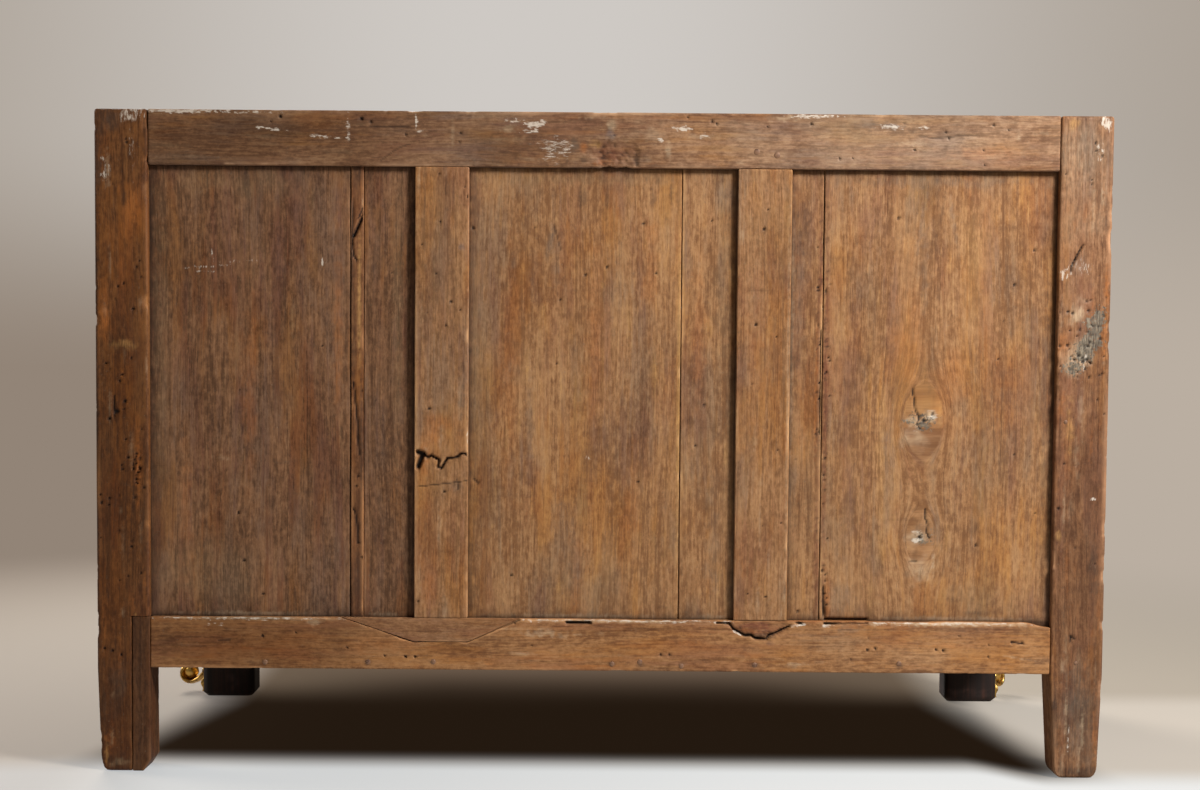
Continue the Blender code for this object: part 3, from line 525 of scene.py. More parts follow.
def carve(piece: bpy.types.Object, hollow: Hollow) -> None:
    """Cuts a box out of a piece, which keeps the values of its points.

    Args:
        piece: what is cut.
        hollow: the box's low and high corners.
    """
    (left, near, low), (right, far, high) = hollow
    ring = np.array([[left, near], [right, near], [right, far], [left, far]])
    grid = np.stack([np.column_stack([ring, np.full(4, z)]) for z in (low, high)])
    cutter = bpy.data.objects.new("hollow", Shape.of(grid).mesh("hollow"))
    cutter.data.shade_flat()
    bpy.context.scene.collection.objects.link(cutter)
    cut = piece.modifiers.new("hollow", "BOOLEAN")
    cut.operation, cut.solver, cut.object = "DIFFERENCE", "MANIFOLD", cutter
    found = piece.evaluated_get(bpy.context.evaluated_depsgraph_get())
    piece.data = bpy.data.meshes.new_from_object(found)
    piece.modifiers.clear()
    bpy.data.objects.remove(cutter)


def place_piece(
    name: str,
    shape: Shape,
    finish: Material,
    body: str = CARCASS,
    nodes: Sequence[str] = (),
    hollow: Hollow | None = None,
) -> None:
    """Makes a piece of a shape, on its body.

    Args:
        name: the piece's name.
        shape: its surface.
        finish: its material.
        body: the body that it rides on.
        nodes: the solids that it stands for.
        hollow: a box cut out of it.
    """
    piece = bpy.data.objects.new(name, shape.mesh(name))
    bpy.context.scene.collection.objects.link(piece)
    piece.data.materials.append(finish)
    if hollow:
        carve(piece, hollow)
    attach(piece, body)
    if nodes:
        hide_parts(*nodes)
    log.info("%s: %d points on %s", name, len(shape.points), body)


class Wiring:
    """Adds shader nodes to one tree and links them."""

    def __init__(self, tree: bpy.types.NodeTree) -> None:
        """Keeps the tree."""
        self.tree = tree

    def put(self, value: object, socket: Socket) -> None:
        """Links a socket's value, or sets a plain one.

        Args:
            value: the value that goes in.
            socket: the socket that takes it.
        """
        if isinstance(value, Socket):
            self.tree.links.new(value, socket)
        else:
            socket.default_value = value

    def node(self, kind: str, **settings: object) -> Node:
        """Adds a node with some of its settings.

        Args:
            kind: the node's type.
            settings: properties of the node.

        Returns:
            The node.
        """
        made = self.tree.nodes.new(kind)
        for key, value in settings.items():
            setattr(made, key, value)
        return made

    def math(self, operation: str, first: object, second: object = 0.0, clamp: bool = False) -> Socket:
        """One sum on two values.

        Args:
            operation: the sum.
            first: the first of the two.
            second: the second of the two.
            clamp: whether it stays between 0 and 1.

        Returns:
            The result.
        """
        made = self.node("ShaderNodeMath", operation=operation, use_clamp=clamp)
        self.put(first, made.inputs[0])
        self.put(second, made.inputs[1])
        return made.outputs[0]

    def times(self, first: object, second: object) -> Socket:
        """The product of two values."""
        return self.math("MULTIPLY", first, second)

    def plus(self, first: object, second: object) -> Socket:
        """The sum of two values."""
        return self.math("ADD", first, second)

    def less(self, first: object, second: object) -> Socket:
        """The first value less the second."""
        return self.math("SUBTRACT", first, second)

    def most(self, first: object, second: object) -> Socket:
        """The larger of two values."""
        return self.math("MAXIMUM", first, second)

    def vector(self, operation: str, first: object, second: object, socket: int | str = 1) -> Socket:
        """One sum on vectors, or on a vector and a value.

        Args:
            operation: the sum.
            first: the first of the two.
            second: the second of the two.
            socket: the second one's socket.

        Returns:
            The result.
        """
        made = self.node("ShaderNodeVectorMath", operation=operation)
        self.put(first, made.inputs[0])
        self.put(second, made.inputs[socket])
        return made.outputs[0]

    def stretch(self, vector: object, by: tuple[float, float, float]) -> Socket:
        """Scales a vector along each axis."""
        return self.vector("MULTIPLY", vector, by)

    def add(self, first: object, second: object) -> Socket:
        """The sum of two vectors."""
        return self.vector("ADD", first, second)

    def scaled(self, vector: object, by: object) -> Socket:
        """A vector or colour times a value."""
        return self.vector("SCALE", vector, by, "Scale")

    def noise(self, vector: object, scale: float = 1.0, detail: float = 2.0, rough: float = 0.5) -> Socket:
        """Soft noise between 0 and 1.

        Args:
            vector: where it is read.
            scale: cells in one unit.
            detail: finer layers.
            rough: weight of each finer layer.

        Returns:
            The noise.
        """
        made = self.node("ShaderNodeTexNoise")
        self.put(vector, made.inputs["Vector"])
        made.inputs["Scale"].default_value = scale
        made.inputs["Detail"].default_value = detail
        made.inputs["Roughness"].default_value = rough
        return made.outputs[0]

    def band(
        self, value: object, low: object, high: object, start: float = 0.0, end: float = 1.0
    ) -> Socket:
        """Carries low to high over to start to end, smoothly and clamped.

        Args:
            value: the value that goes in.
            low: the value that gives start.
            high: the value that gives end.
            start: the first result.
            end: the last result.

        Returns:
            The result.
        """
        made = self.node("ShaderNodeMapRange", interpolation_type="SMOOTHSTEP")
        for socket, item in zip(made.inputs, (value, low, high, start, end)):
            self.put(item, socket)
        return made.outputs[0]

    def mix(self, share: object, first: object, second: object, blend: str = "MIX") -> Socket:
        """Blends two colours.

        Args:
            share: how much of the second.
            first: the first of the two.
            second: the second of the two.
            blend: how they blend.

        Returns:
            The blend.
        """
        made = self.node("ShaderNodeMix", data_type="RGBA", blend_type=blend)
        for socket, item in ((0, share), (6, first), (7, second)):
            self.put(item, made.inputs[socket])
        return made.outputs[2]

    def ramp(self, value: object, stops: Sequence[tuple[float, Colour]]) -> Socket:
        """A colour between stops.

        Args:
            value: the value that goes in.
            stops: places and colours, in order.

        Returns:
            The colour.
        """
        made = self.node("ShaderNodeValToRGB")
        for place, colour in stops[1:-1]:
            made.color_ramp.elements.new(place).color = colour
        for end in (0, -1):
            element = made.color_ramp.elements[end]
            element.position, element.color = stops[end]
        self.put(value, made.inputs[0])
        return made.outputs[0]

    def layer(self, name: str) -> Node:
        """Reads what the piece's points carry."""
        return self.node("ShaderNodeAttribute", attribute_type="GEOMETRY", attribute_name=name)

    def share(self, name: str) -> Socket:
        """Reads a single value that the piece's points carry."""
        return self.layer(name).outputs["Fac"]

    def group(self, tree: bpy.types.NodeTree, **inputs: object) -> Node:
        """Places a node group and feeds its inputs by name.

        Args:
            tree: the group.
            inputs: what feeds each input.

        Returns:
            The node of the group.
        """
        made = self.node("ShaderNodeGroup", node_tree=tree)
        for key, value in inputs.items():
            self.put(value, made.inputs[key])
        return made


class Groups:
    """The shared effects, each a node group built once."""

    def __init__(self) -> None:
        """Builds every group."""
        self.figure = self.build_figure()
        self.stain = self.build_stain()
        self.patina = self.build_patina()

    @staticmethod
    def start(name: str, inputs: dict[str, str], outputs: dict[str, str]) -> tuple[Wiring, Node, Node]:
        """Makes an empty group with named sockets.

        Args:
            name: the group's name.
            inputs: socket names and kinds.
            outputs: socket names and kinds.

        Returns:
            The wiring, the node of its inputs and the node of its outputs.
        """
        tree = bpy.data.node_groups.new(name, "ShaderNodeTree")
        for way, sockets in (("INPUT", inputs), ("OUTPUT", outputs)):
            for key, kind in sockets.items():
                tree.interface.new_socket(key, in_out=way, socket_type=f"NodeSocket{kind}")
        wiring = Wiring(tree)
        return wiring, wiring.node("NodeGroupInput"), wiring.node("NodeGroupOutput")

    def build_figure(self) -> bpy.types.NodeTree:
        """Wood figure from a grain coordinate in metres: along, across and through the board.

        Returns:
            The group.
        """
        names = "Tone Stripe Streak Pore Warm Grey Dusky Pale Grit Scratch Height"
        outputs = dict.fromkeys(names.split(), "Float")
        wiring, source, sink = self.start("wood_figure", {"Grain": "Vector", "Scale": "Float"}, outputs)
        grain = wiring.scaled(source.outputs["Grain"], source.outputs["Scale"])
        sway = wiring.noise(wiring.stretch(grain, (2.2, 9, 9)), detail=1)
        shift = wiring.node("ShaderNodeCombineXYZ")
        wiring.put(wiring.times(sway, 0.018), shift.inputs[1])
        line = wiring.add(grain, shift.outputs[0])
        broad = wiring.noise(wiring.stretch(line, (2.4, 22, 22)), detail=3, rough=0.55)
        bands = wiring.noise(wiring.stretch(line, (2.6, 75, 75)), detail=3, rough=0.6)
        thread = wiring.noise(wiring.stretch(line, (7, 170, 170)), detail=3, rough=0.65)
        fleck = wiring.noise(wiring.stretch(line, (60, 300, 300)), detail=3, rough=0.6)
        mottle = wiring.noise(wiring.stretch(line, (110, 150, 150)), detail=4, rough=0.7)
        fibre = wiring.noise(wiring.stretch(line, (8, 480, 480)), detail=2, rough=0.6)
        dash = wiring.noise(wiring.stretch(line, (34, 900, 900)), detail=2, rough=0.6)
        tone = self.weighed(
            wiring, (broad, 0.15), (bands, 0.11), (thread, 0.18), (fleck, 0.23), (fibre, 0.11), (mottle, 0.22)
        )
        stripe = self.weighed(
            wiring, (broad, 0.16), (bands, 0.20), (thread, 0.34), (fibre, 0.18), (dash, 0.12)
        )
        pore = wiring.band(dash, 0.57, 0.72)
        broken = wiring.times(wiring.less(thread, 0.5), 0.55)
        broken = wiring.plus(broken, wiring.times(wiring.less(bands, 0.5), 0.34))
        masks = {}
        for key, stretch, start in (
            ("Warm", (6, 20, 20), (3.1, 0.4, 2.2)),
            ("Grey", (7, 17, 17), (9.7, 5.3, 1.1)),
            ("Dusky", (6, 26, 26), (4.3, 8.9, 6.5)),
            ("Pale", (5, 23, 23), (1.7, 2.9, 8.3)),
        ):
            cloud = wiring.noise(wiring.add(wiring.stretch(line, stretch), start), detail=5, rough=0.6)
            cloud = wiring.plus(cloud, broken)
            masks[key] = wiring.band(cloud, 0.46, 0.66)
        streak = wiring.noise(wiring.stretch(line, (5, 210, 210)), detail=2)
        grit = wiring.noise(wiring.stretch(grain, (190, 420, 420)), detail=4, rough=0.7)
        across = wiring.noise(wiring.stretch(grain, (520, 16, 16)), detail=2, rough=0.6)
        height = wiring.less(wiring.times(fibre, 0.8), wiring.times(pore, 0.9))
        height = wiring.plus(height, wiring.times(mottle, 0.6))
        found = {
            "Tone": wiring.band(tone, 0.42, 0.58),
            "Stripe": wiring.band(stripe, 0.41, 0.59),
            "Streak": wiring.band(streak, 0.38, 0.26),
            "Pore": pore,
            "Grit": wiring.band(grit, 0.36, 0.66),
            "Scratch": wiring.times(wiring.band(across, 0.60, 0.70), masks["Grey"]),
            "Height": height,
            **masks,
        }
        for key, value in found.items():
            wiring.put(value, sink.inputs[key])
        return wiring.tree

    @staticmethod
    def weighed(wiring: Wiring, *parts: tuple[object, float]) -> object:
        """Adds up values, each times its share.

        Args:
            wiring: the nodes that are added to.
            parts: the values and their shares.

        Returns:
            The sum.
        """
        total: object = 0.0
        for value, share in parts:
            total = wiring.plus(total, wiring.times(value, share))
        return total

    def build_stain(self) -> bpy.types.NodeTree:
        """Lays a stain, kept as colour times cover, over wood; noise breaks it and the figure shows through.

        Returns:
            The group.
        """
        inputs = {"Wood": "Color", "Stain": "Color", "Cover": "Float", "Tone": "Float", "Grain": "Vector"}
        wiring, source, sink = self.start("old_stain", inputs, {"Colour": "Color"})
        fine = wiring.noise(wiring.stretch(source.outputs["Grain"], (90, 520, 520)), detail=3, rough=0.65)
        broken = wiring.band(fine, 0.30, 0.62, 0.55, 1.25)
        cover = wiring.math("MULTIPLY", broken, source.outputs["Cover"], clamp=True)
        share = wiring.math("DIVIDE", cover, wiring.most(source.outputs["Cover"], 0.001))
        wood = wiring.scaled(source.outputs["Wood"], wiring.less(1.0, cover))
        figure = wiring.times(share, wiring.band(source.outputs["Tone"], 0, 1, 0.74, 1.2))
        stain = wiring.scaled(source.outputs["Stain"], figure)
        wiring.put(wiring.add(wood, stain), sink.inputs["Colour"])
        return wiring.tree

    def build_patina(self) -> bpy.types.NodeTree:
        """Patches of tarnish on metal, and fine scratches, from object coordinates.

        Returns:
            The group.
        """
        outputs = {"Tarnish": "Float", "Grit": "Float"}
        wiring, source, sink = self.start("metal_patina", {"Place": "Vector"}, outputs)
        cloud = wiring.noise(source.outputs["Place"], 90.0, detail=4, rough=0.65)
        grit = wiring.noise(source.outputs["Place"], 900.0, detail=2)
        wiring.put(wiring.band(cloud, 0.45, 0.68), sink.inputs["Tarnish"])
        wiring.put(grit, sink.inputs["Grit"])
        return wiring.tree


def new_material(name: str) -> tuple[Material, Wiring, Node]:
    """A material with only a shader and its output.

    Args:
        name: the material's name.

    Returns:
        The material, its wiring and the shader node.
    """
    material = bpy.data.materials.new(name)
    material.use_nodes = True
    material.node_tree.nodes.clear()
    wiring = Wiring(material.node_tree)
    shader = wiring.node("ShaderNodeBsdfPrincipled")
    output = wiring.node("ShaderNodeOutputMaterial")
    wiring.put(shader.outputs[0], output.inputs[0])
    return material, wiring, shader


def bump(wiring: Wiring, shader: Node, height: object, strength: float, distance: float) -> None:
    """Feeds a height to the shader's normal.

    Args:
        wiring: the nodes that are added to.
        shader: the shader node.
        height: the height, from 0 to 1.
        strength: how strongly the slope turns the light.
        distance: the full height, in metres.
    """
    made = wiring.node("ShaderNodeBump")
    made.inputs["Strength"].default_value = strength
    made.inputs["Distance"].default_value = distance
    wiring.put(height, made.inputs["Height"])
    wiring.put(made.outputs[0], shader.inputs["Normal"])


@dataclass(frozen=True)
class OldOak:
    """Bare, handled oak: figure between three colours, hue patches, pores, stains, worn arrises and holes."""

    name: str
    dark: Screen
    middle: Screen
    light: Screen
    streak: float = 0.25
    pore: float = 0.35
    warm: float = 0.9
    grey: float = 0.85
    dusky: float = 0.7
    pale: float = 0.38
    grit: float = 0.62
    scratch: float = 0.14
    scale: float = 1.0

    def material(self, groups: Groups) -> Material:
        """Builds the finish; the piece's points carry its grain, stain, shade and wear.

        Args:
            groups: the shared effects.

        Returns:
            The material.
        """
        material, wiring, shader = new_material(self.name)
        grain = wiring.layer("grain").outputs["Vector"]
        figure = wiring.group(groups.figure, Grain=grain, Scale=self.scale).outputs
        dark, light = (
            tuple(0.25 * a + 0.75 * b for a, b in zip(self.middle, end)) for end in (self.dark, self.light)
        )
        stops = ((0.0, srgb(*dark)), (0.5, srgb(*self.middle)), (1.0, srgb(*light)))
        wood = wiring.ramp(figure["Tone"], stops)
        wood = wiring.mix(wiring.times(figure["Pale"], self.pale), wood, srgb(*self.light))
        deep = (0.42, 0.36, 0.34, 1.0)
        for key, amount, tint in (
            ("Warm", self.warm, (1.0, 0.86, 0.58, 1.0)),
            ("Grey", self.grey, (0.70, 0.78, 0.98, 1.0)),
            ("Dusky", self.dusky, (0.70, 0.58, 0.62, 1.0)),
            ("Streak", self.streak, deep),
            ("Pore", self.pore, deep),
            ("Grit", self.grit, (0.72, 0.70, 0.68, 1.0)),
            ("Scratch", self.scratch, deep),
        ):
            wood = wiring.mix(wiring.times(figure[key], amount), wood, tint, "MULTIPLY")
        stain = wiring.layer("stain").outputs
        stained = {"Wood": wood, "Stain": stain["Color"], "Cover": stain["Alpha"]}
        wood = wiring.group(groups.stain, **stained, Tone=figure["Tone"], Grain=grain).outputs[0]
        # Multiplies in the SHADOW smears: partly darker wood, partly painted shade.
        wood = wiring.mix(wiring.share("gloom"), wood, (0.40, 0.32, 0.22, 1.0), "MULTIPLY")
        pale = tuple(min(int(1.15 * value + 8), 255) for value in self.light)
        wood = wiring.mix(wiring.share("wear"), wood, srgb(*pale))
        place = wiring.node("ShaderNodeTexCoord").outputs["Object"]
        crumb = wiring.band(wiring.noise(place, 260.0, detail=5, rough=0.7), 0.32, 0.66)
        left = wiring.less(wiring.share("rot"), crumb)
        grey = wiring.noise(wiring.stretch(grain, (90, 640, 640)), detail=3, rough=0.65)
        stops = ((0.34, srgb(72, 65, 56)), (0.5, srgb(102, 93, 80)), (0.66, srgb(146, 134, 114)))
        grey = wiring.ramp(grey, stops)
        wood = wiring.mix(wiring.band(left, -0.10, 0.20, 0.0, 0.92), wood, grey)
        speck = wiring.noise(wiring.stretch(grain, (110, 400, 400)), detail=5, rough=0.7)
        chalk = wiring.share("chalk")
        left = wiring.less(chalk, wiring.band(speck, 0.32, 0.68))
        left = wiring.times(wiring.band(left, -0.25, 0.45, 0.0, 0.78), wiring.band(chalk, 0.0, 0.18))
        wood = wiring.mix(left, wood, srgb(*Pigment.CHALK.value))
        wood = wiring.mix(wiring.share("shade"), wood, srgb(22, 13, 8))
        wiring.put(wood, shader.inputs["Base Color"])
        wiring.put(wiring.band(figure["Tone"], 0, 1, 0.74, 0.56), shader.inputs["Roughness"])
        shader.inputs["Specular IOR Level"].default_value = 0.22
        bump(wiring, shader, figure["Height"], 0.4, 0.0007)
        return material


@dataclass(frozen=True)
class LiningOak:
    """Plain oak inside the carcass and drawers, with its grain along one axis of the object."""

    name: str
    turn: tuple[float, float, float]
    dark: Screen = (122, 84, 52)
    middle: Screen = (156, 114, 74)
    light: Screen = (180, 138, 94)

    def material(self, groups: Groups) -> Material:
        """Builds the finish from object coordinates turned so that the grain runs along the first axis.

        Args:
            groups: the shared effects.

        Returns:
            The material.
        """
        material, wiring, shader = new_material(self.name)
        place = wiring.node("ShaderNodeTexCoord").outputs["Object"]
        turned = wiring.node("ShaderNodeMapping")
        turned.inputs["Rotation"].default_value = self.turn
        wiring.put(place, turned.inputs["Vector"])
        figure = wiring.group(groups.figure, Grain=turned.outputs[0], Scale=1.0).outputs
        stops = ((0.0, srgb(*self.dark)), (0.5, srgb(*self.middle)), (1.0, srgb(*self.light)))
        wood = wiring.ramp(figure["Tone"], stops)
        wood = wiring.mix(wiring.times(figure["Grey"], 0.5), wood, srgb(128, 100, 74))
        wood = wiring.mix(wiring.times(figure["Pore"], 0.5), wood, srgb(86, 56, 34))
        wiring.put(wood, shader.inputs["Base Color"])
        wiring.put(wiring.band(figure["Tone"], 0, 1, 0.75, 0.6), shader.inputs["Roughness"])
        shader.inputs["Specular IOR Level"].default_value = 0.3
        bump(wiring, shader, figure["Height"], 0.3, 0.0005)
        return material


@dataclass(frozen=True)
class Veneer:
    """Polished dark veneer: a figured field, a cross-grained band and a pale string between them."""

    name: str
    band_wide: float = 0.022
    string_wide: float = 0.0026

    def material(self, groups: Groups) -> Material:
        """Builds the finish; the piece's points carry its grain, distance from the edge, wear and shade.

        Args:
            groups: the shared effects.

        Returns:
            The material.
        """
        material, wiring, shader = new_material(self.name)
        grain = wiring.layer("grain").outputs["Vector"]
        edge = wiring.share("edge")
        figure = wiring.group(groups.figure, Grain=grain, Scale=0.8).outputs
        stops = ((0.0, srgb(66, 30, 16)), (0.5, srgb(122, 64, 34)), (1.0, srgb(172, 104, 58)))
        field_colour = wiring.ramp(figure["Stripe"], stops)
        stops = ((0.0, srgb(44, 20, 12)), (0.5, srgb(78, 38, 22)), (1.0, srgb(112, 60, 34)))
        band_colour = wiring.ramp(figure["Stripe"], stops)
        inside = wiring.math("GREATER_THAN", edge, self.band_wide)
        wood = wiring.mix(inside, band_colour, field_colour)
        wood = wiring.mix(wiring.times(figure["Streak"], 0.7), wood, srgb(40, 18, 11))
        off = wiring.math("ABSOLUTE", wiring.less(edge, self.band_wide))
        string = wiring.math("LESS_THAN", off, self.string_wide / 2)
        wood = wiring.mix(string, wood, srgb(186, 142, 84))
        wood = wiring.mix(wiring.share("wear"), wood, srgb(126, 78, 46))
        wood = wiring.mix(wiring.share("shade"), wood, srgb(20, 14, 11))
        upward = wiring.node("ShaderNodeSeparateXYZ")
        wiring.put(wiring.node("ShaderNodeNewGeometry").outputs["Normal"], upward.inputs[0])
        bare = wiring.most(wiring.band(upward.outputs["Z"], 0.75, 0.92), wiring.share("back"))
        oak = wiring.ramp(figure["Tone"], ((0.0, srgb(92, 62, 40)), (1.0, srgb(148, 108, 72))))
        wood = wiring.mix(bare, wood, oak)
        wiring.put(wood, shader.inputs["Base Color"])
        dull = wiring.most(wiring.share("shade"), bare)
        gloss = wiring.band(figure["Grey"], 0, 1, 0.26, 0.40)
        wiring.put(wiring.most(gloss, wiring.times(dull, 0.9)), shader.inputs["Roughness"])
        coat = wiring.times(wiring.math("SUBTRACT", 1.0, dull, clamp=True), 0.25)
        wiring.put(coat, shader.inputs["Coat Weight"])
        shader.inputs["Specular IOR Level"].default_value = 0.35
        shader.inputs["Coat Roughness"].default_value = 0.18
        bump(wiring, shader, figure["Height"], 0.08, 0.0004)
        return material


@dataclass(frozen=True)
class Metal:
    """A worked metal with tarnish in its hollows."""

    name: str
    bright: Screen
    dull: Screen
    rough: float
    tarnished_rough: float
    metallic: float = 1.0

    def material(self, groups: Groups) -> Material:
        """Builds the finish from object coordinates.

        Args:
            groups: the shared effects.

        Returns:
            The material.
        """
        material, wiring, shader = new_material(self.name)
        place = wiring.node("ShaderNodeTexCoord").outputs["Object"]
        patina = wiring.group(groups.patina, Place=place).outputs
        worn = wiring.most(patina["Tarnish"], wiring.share("shade"))
        wiring.put(wiring.mix(worn, srgb(*self.bright), srgb(*self.dull)), shader.inputs["Base Color"])
        wiring.put(wiring.band(worn, 0, 1, self.rough, self.tarnished_rough), shader.inputs["Roughness"])
        shader.inputs["Metallic"].default_value = self.metallic
        bump(wiring, shader, patina["Grit"], 0.12, 0.0003)
        return material


class Figure(Enum):
    """How wood lies on a piece."""

    STRAIGHT = "straight"
    QUARTERED = "quartered"


@dataclass
class Plank:
    """A sawn board: a rounded section carried along its grain, aged on the face that is seen.

    axes names which coordinate runs along, across and through the board; seen is the side of the last
    that shows.
    """

    name: str
    low: Sequence[float]
    high: Sequence[float]
    axes: tuple[int, int, int]
    seen: int = 1
    step: float = 0.002
    arris: float = 0.0016
    uneven: float = 0.25
    chipped: float = 0.8
    seed: int = 1
    breaks: tuple[float, ...] = ()
    low_edge: Edge | None = None
    high_edge: Edge | None = None
    bow: Edge | None = None
    marks: Sequence[Mark] = ()
    figure: Figure = Figure.STRAIGHT
    band: float = 0.022
    CORNER: ClassVar[float] = 0.0022

    def section(self, wide: float, thick: float) -> Array:
        """A rectangle with quarter-round corners, from the seen face round to the other side and back.

        Args:
            wide: size across.
            thick: size through.

        Returns:
            Rows of across, through, the two parts of the outward normal and the distance from a corner.
        """
        r, coarse = self.arris, 3 * self.step
        sides = ((r, thick, 1, 0, wide, self.step), (wide, thick - r, 0, -1, thick, coarse))
        sides += ((wide - r, 0, -1, 0, wide, 2 * coarse), (0, r, 0, 1, thick, coarse))
        rows = []
        for start_a, start_d, way_a, way_d, size, step in sides:
            away = np.linspace(0, size - 2 * r, max(int(math.ceil((size - 2 * r) / step)), 1) + 1)
            normal = (-way_d, way_a)
            near = np.minimum(away, away[-1] - away)
            a, d = start_a + way_a * away, start_d + way_d * away
            rows.append(np.stack([a, d, np.full_like(a, normal[0]), np.full_like(a, normal[1]), near]))
            turn = np.linspace(0, math.pi / 2, 5)[1:-1]
            n_a = normal[0] * np.cos(turn) + way_a * np.sin(turn)
            n_d = normal[1] * np.cos(turn) + way_d * np.sin(turn)
            centre_a, centre_d = a[-1] - normal[0] * r, d[-1] - normal[1] * r
            rows.append(np.stack([centre_a + r * n_a, centre_d + r * n_d, n_a, n_d, np.zeros_like(turn)]))
        return np.concatenate(rows, axis=1)

    def stations(self, start: float, end: float) -> Array:
        """Places along the board and how far the section is drawn in there to round its ends.

        Args:
            start: where the board starts.
            end: where it ends.

        Returns:
            Rows of places and of how far the section is drawn in.
        """
        inner = np.linspace(start + self.arris, end - self.arris, int((end - start) / self.step) + 2)
        extra = np.array([place + side * 0.0001 for place in self.breaks for side in (-1, 1)])
        inner = np.unique(np.concatenate([inner, extra]))
        drawn = np.array([1.0, 0.3]) * self.arris
        ends = np.array([0.0, 0.3]) * self.arris
        places = np.concatenate([start + ends, inner, end - ends[::-1]])
        return np.stack([places, np.concatenate([drawn, np.zeros_like(inner), drawn[::-1]])])

    def shape(self) -> Shape:
        """Carries the section along, shapes its edges, then ages the seen face.

        Returns:
            The board with its grain, stain, shade, wear and edge values.
        """
        along, across, through = self.axes
        (a0, a1), (d0, d1) = ((self.low[axis], self.high[axis]) for axis in (across, through))
        section = self.section(a1 - a0, d1 - d0)
        places, drawn = self.stations(self.low[along], self.high[along])
        t = np.repeat(places[:, None], section.shape[1], axis=1)
        a = a0 + section[0] - section[2] * drawn[:, None]
        d = section[1] - section[3] * drawn[:, None]
        d = d0 + d if self.seen > 0 else d1 - d
        n_a, n_d, near = (np.broadcast_to(section[k], t.shape) for k in (2, 3, 4))
        share = (a - a0) / (a1 - a0)
        low = self.low_edge(t) if self.low_edge else a0
        high = self.high_edge(t) if self.high_edge else a1
        a = low + share * (high - low)
        noise = Noise(self.seed)
        grid = np.zeros((*t.shape, 3))
        grid[..., along], grid[..., across], grid[..., through] = t, a, d
        face = Face(-self.seen * grid[..., 0] / MM, grid[..., 2] / MM, np.clip(n_d, 0, 1), noise)
        if through == 0:
            face.right = self.seen * grid[..., 1] / MM
        if through == 2:
            face.right, face.up = grid[..., 0] / MM, grid[..., 1] / MM
        for mark in self.marks:
            mark.apply(face)
        corner = np.exp(-((near / self.CORNER) ** 2))
        chip = np.clip(noise.layered(t / 0.021 + 5, a / 0.05, 4) * 2.2 - 0.35, 0, 1) * corner
        slow = noise.layered(t / 0.11, a / 0.03 + 3, 3)
        lift = (face.relief + self.uneven * slow - self.chipped * chip) * MM
        grid[..., across] += n_a * np.where(np.abs(n_a) > 0.2, lift, 0)
        grid[..., through] += n_d * self.seen * lift
        if self.bow:
            share = np.clip((d - d0) / (d1 - d0), 0, 1)
            grid[..., through] += self.bow(t) * (1 - share if self.seen < 0 else share)
        wear = corner * np.clip(0.9 * slow + 0.7 * chip, 0, 0.7)
        return Shape.of(grid, self.layers(t, a, d, face, wear, n_d < -0.5))

    def layers(self, t: Array, a: Array, d: Array, face: Face, wear: Array, back: Array) -> dict[str, Array]:
        """Values for the finish: quartered grain is folded at both middle lines and runs aslant.

        Args:
            t: place along the board.
            a: place across it.
            d: place through it.
            face: the aged face.
            wear: how bare each point is rubbed.
            back: which points lie on the hidden face.

        Returns:
            The values by name.
        """
        (t0, t1), (a0, a1) = ((self.low[axis], self.high[axis]) for axis in self.axes[:2])
        start = np.random.default_rng(self.seed).uniform(-4, 4, 3)
        edge = np.minimum(np.minimum(t - t0, t1 - t), np.minimum(a - a0, a1 - a))
        long, cross = t, a - self.seen * face.flow
        if self.figure is Figure.QUARTERED:
            u, v = np.abs(t - (t0 + t1) / 2), np.abs(a - (a0 + a1) / 2)
            long, cross = (u + v) * math.sqrt(0.5), (u - v) * math.sqrt(0.5)
            banded = edge < self.band
            upright = np.minimum(a - a0, a1 - a) < np.minimum(t - t0, t1 - t)
            long = np.where(banded, np.where(upright, a, t), long)
            cross = np.where(banded, np.where(upright, t, a), cross)
            long, cross = np.where(back, t, long), np.where(back, a, cross)
        grain = np.stack([long + start[0], cross + start[1], d + start[2]], axis=-1)
        stain = np.concatenate([face.stain, face.cover[..., None]], axis=-1)
        return {
            "grain": grain,
            "stain": stain,
            "shade": face.shade,
            "wear": np.clip(wear, 0, 1),
            "edge": edge,
            "chalk": face.chalk,
            "rot": face.rot,
            "gloom": face.gloom,
            "back": back.astype(float),
        }


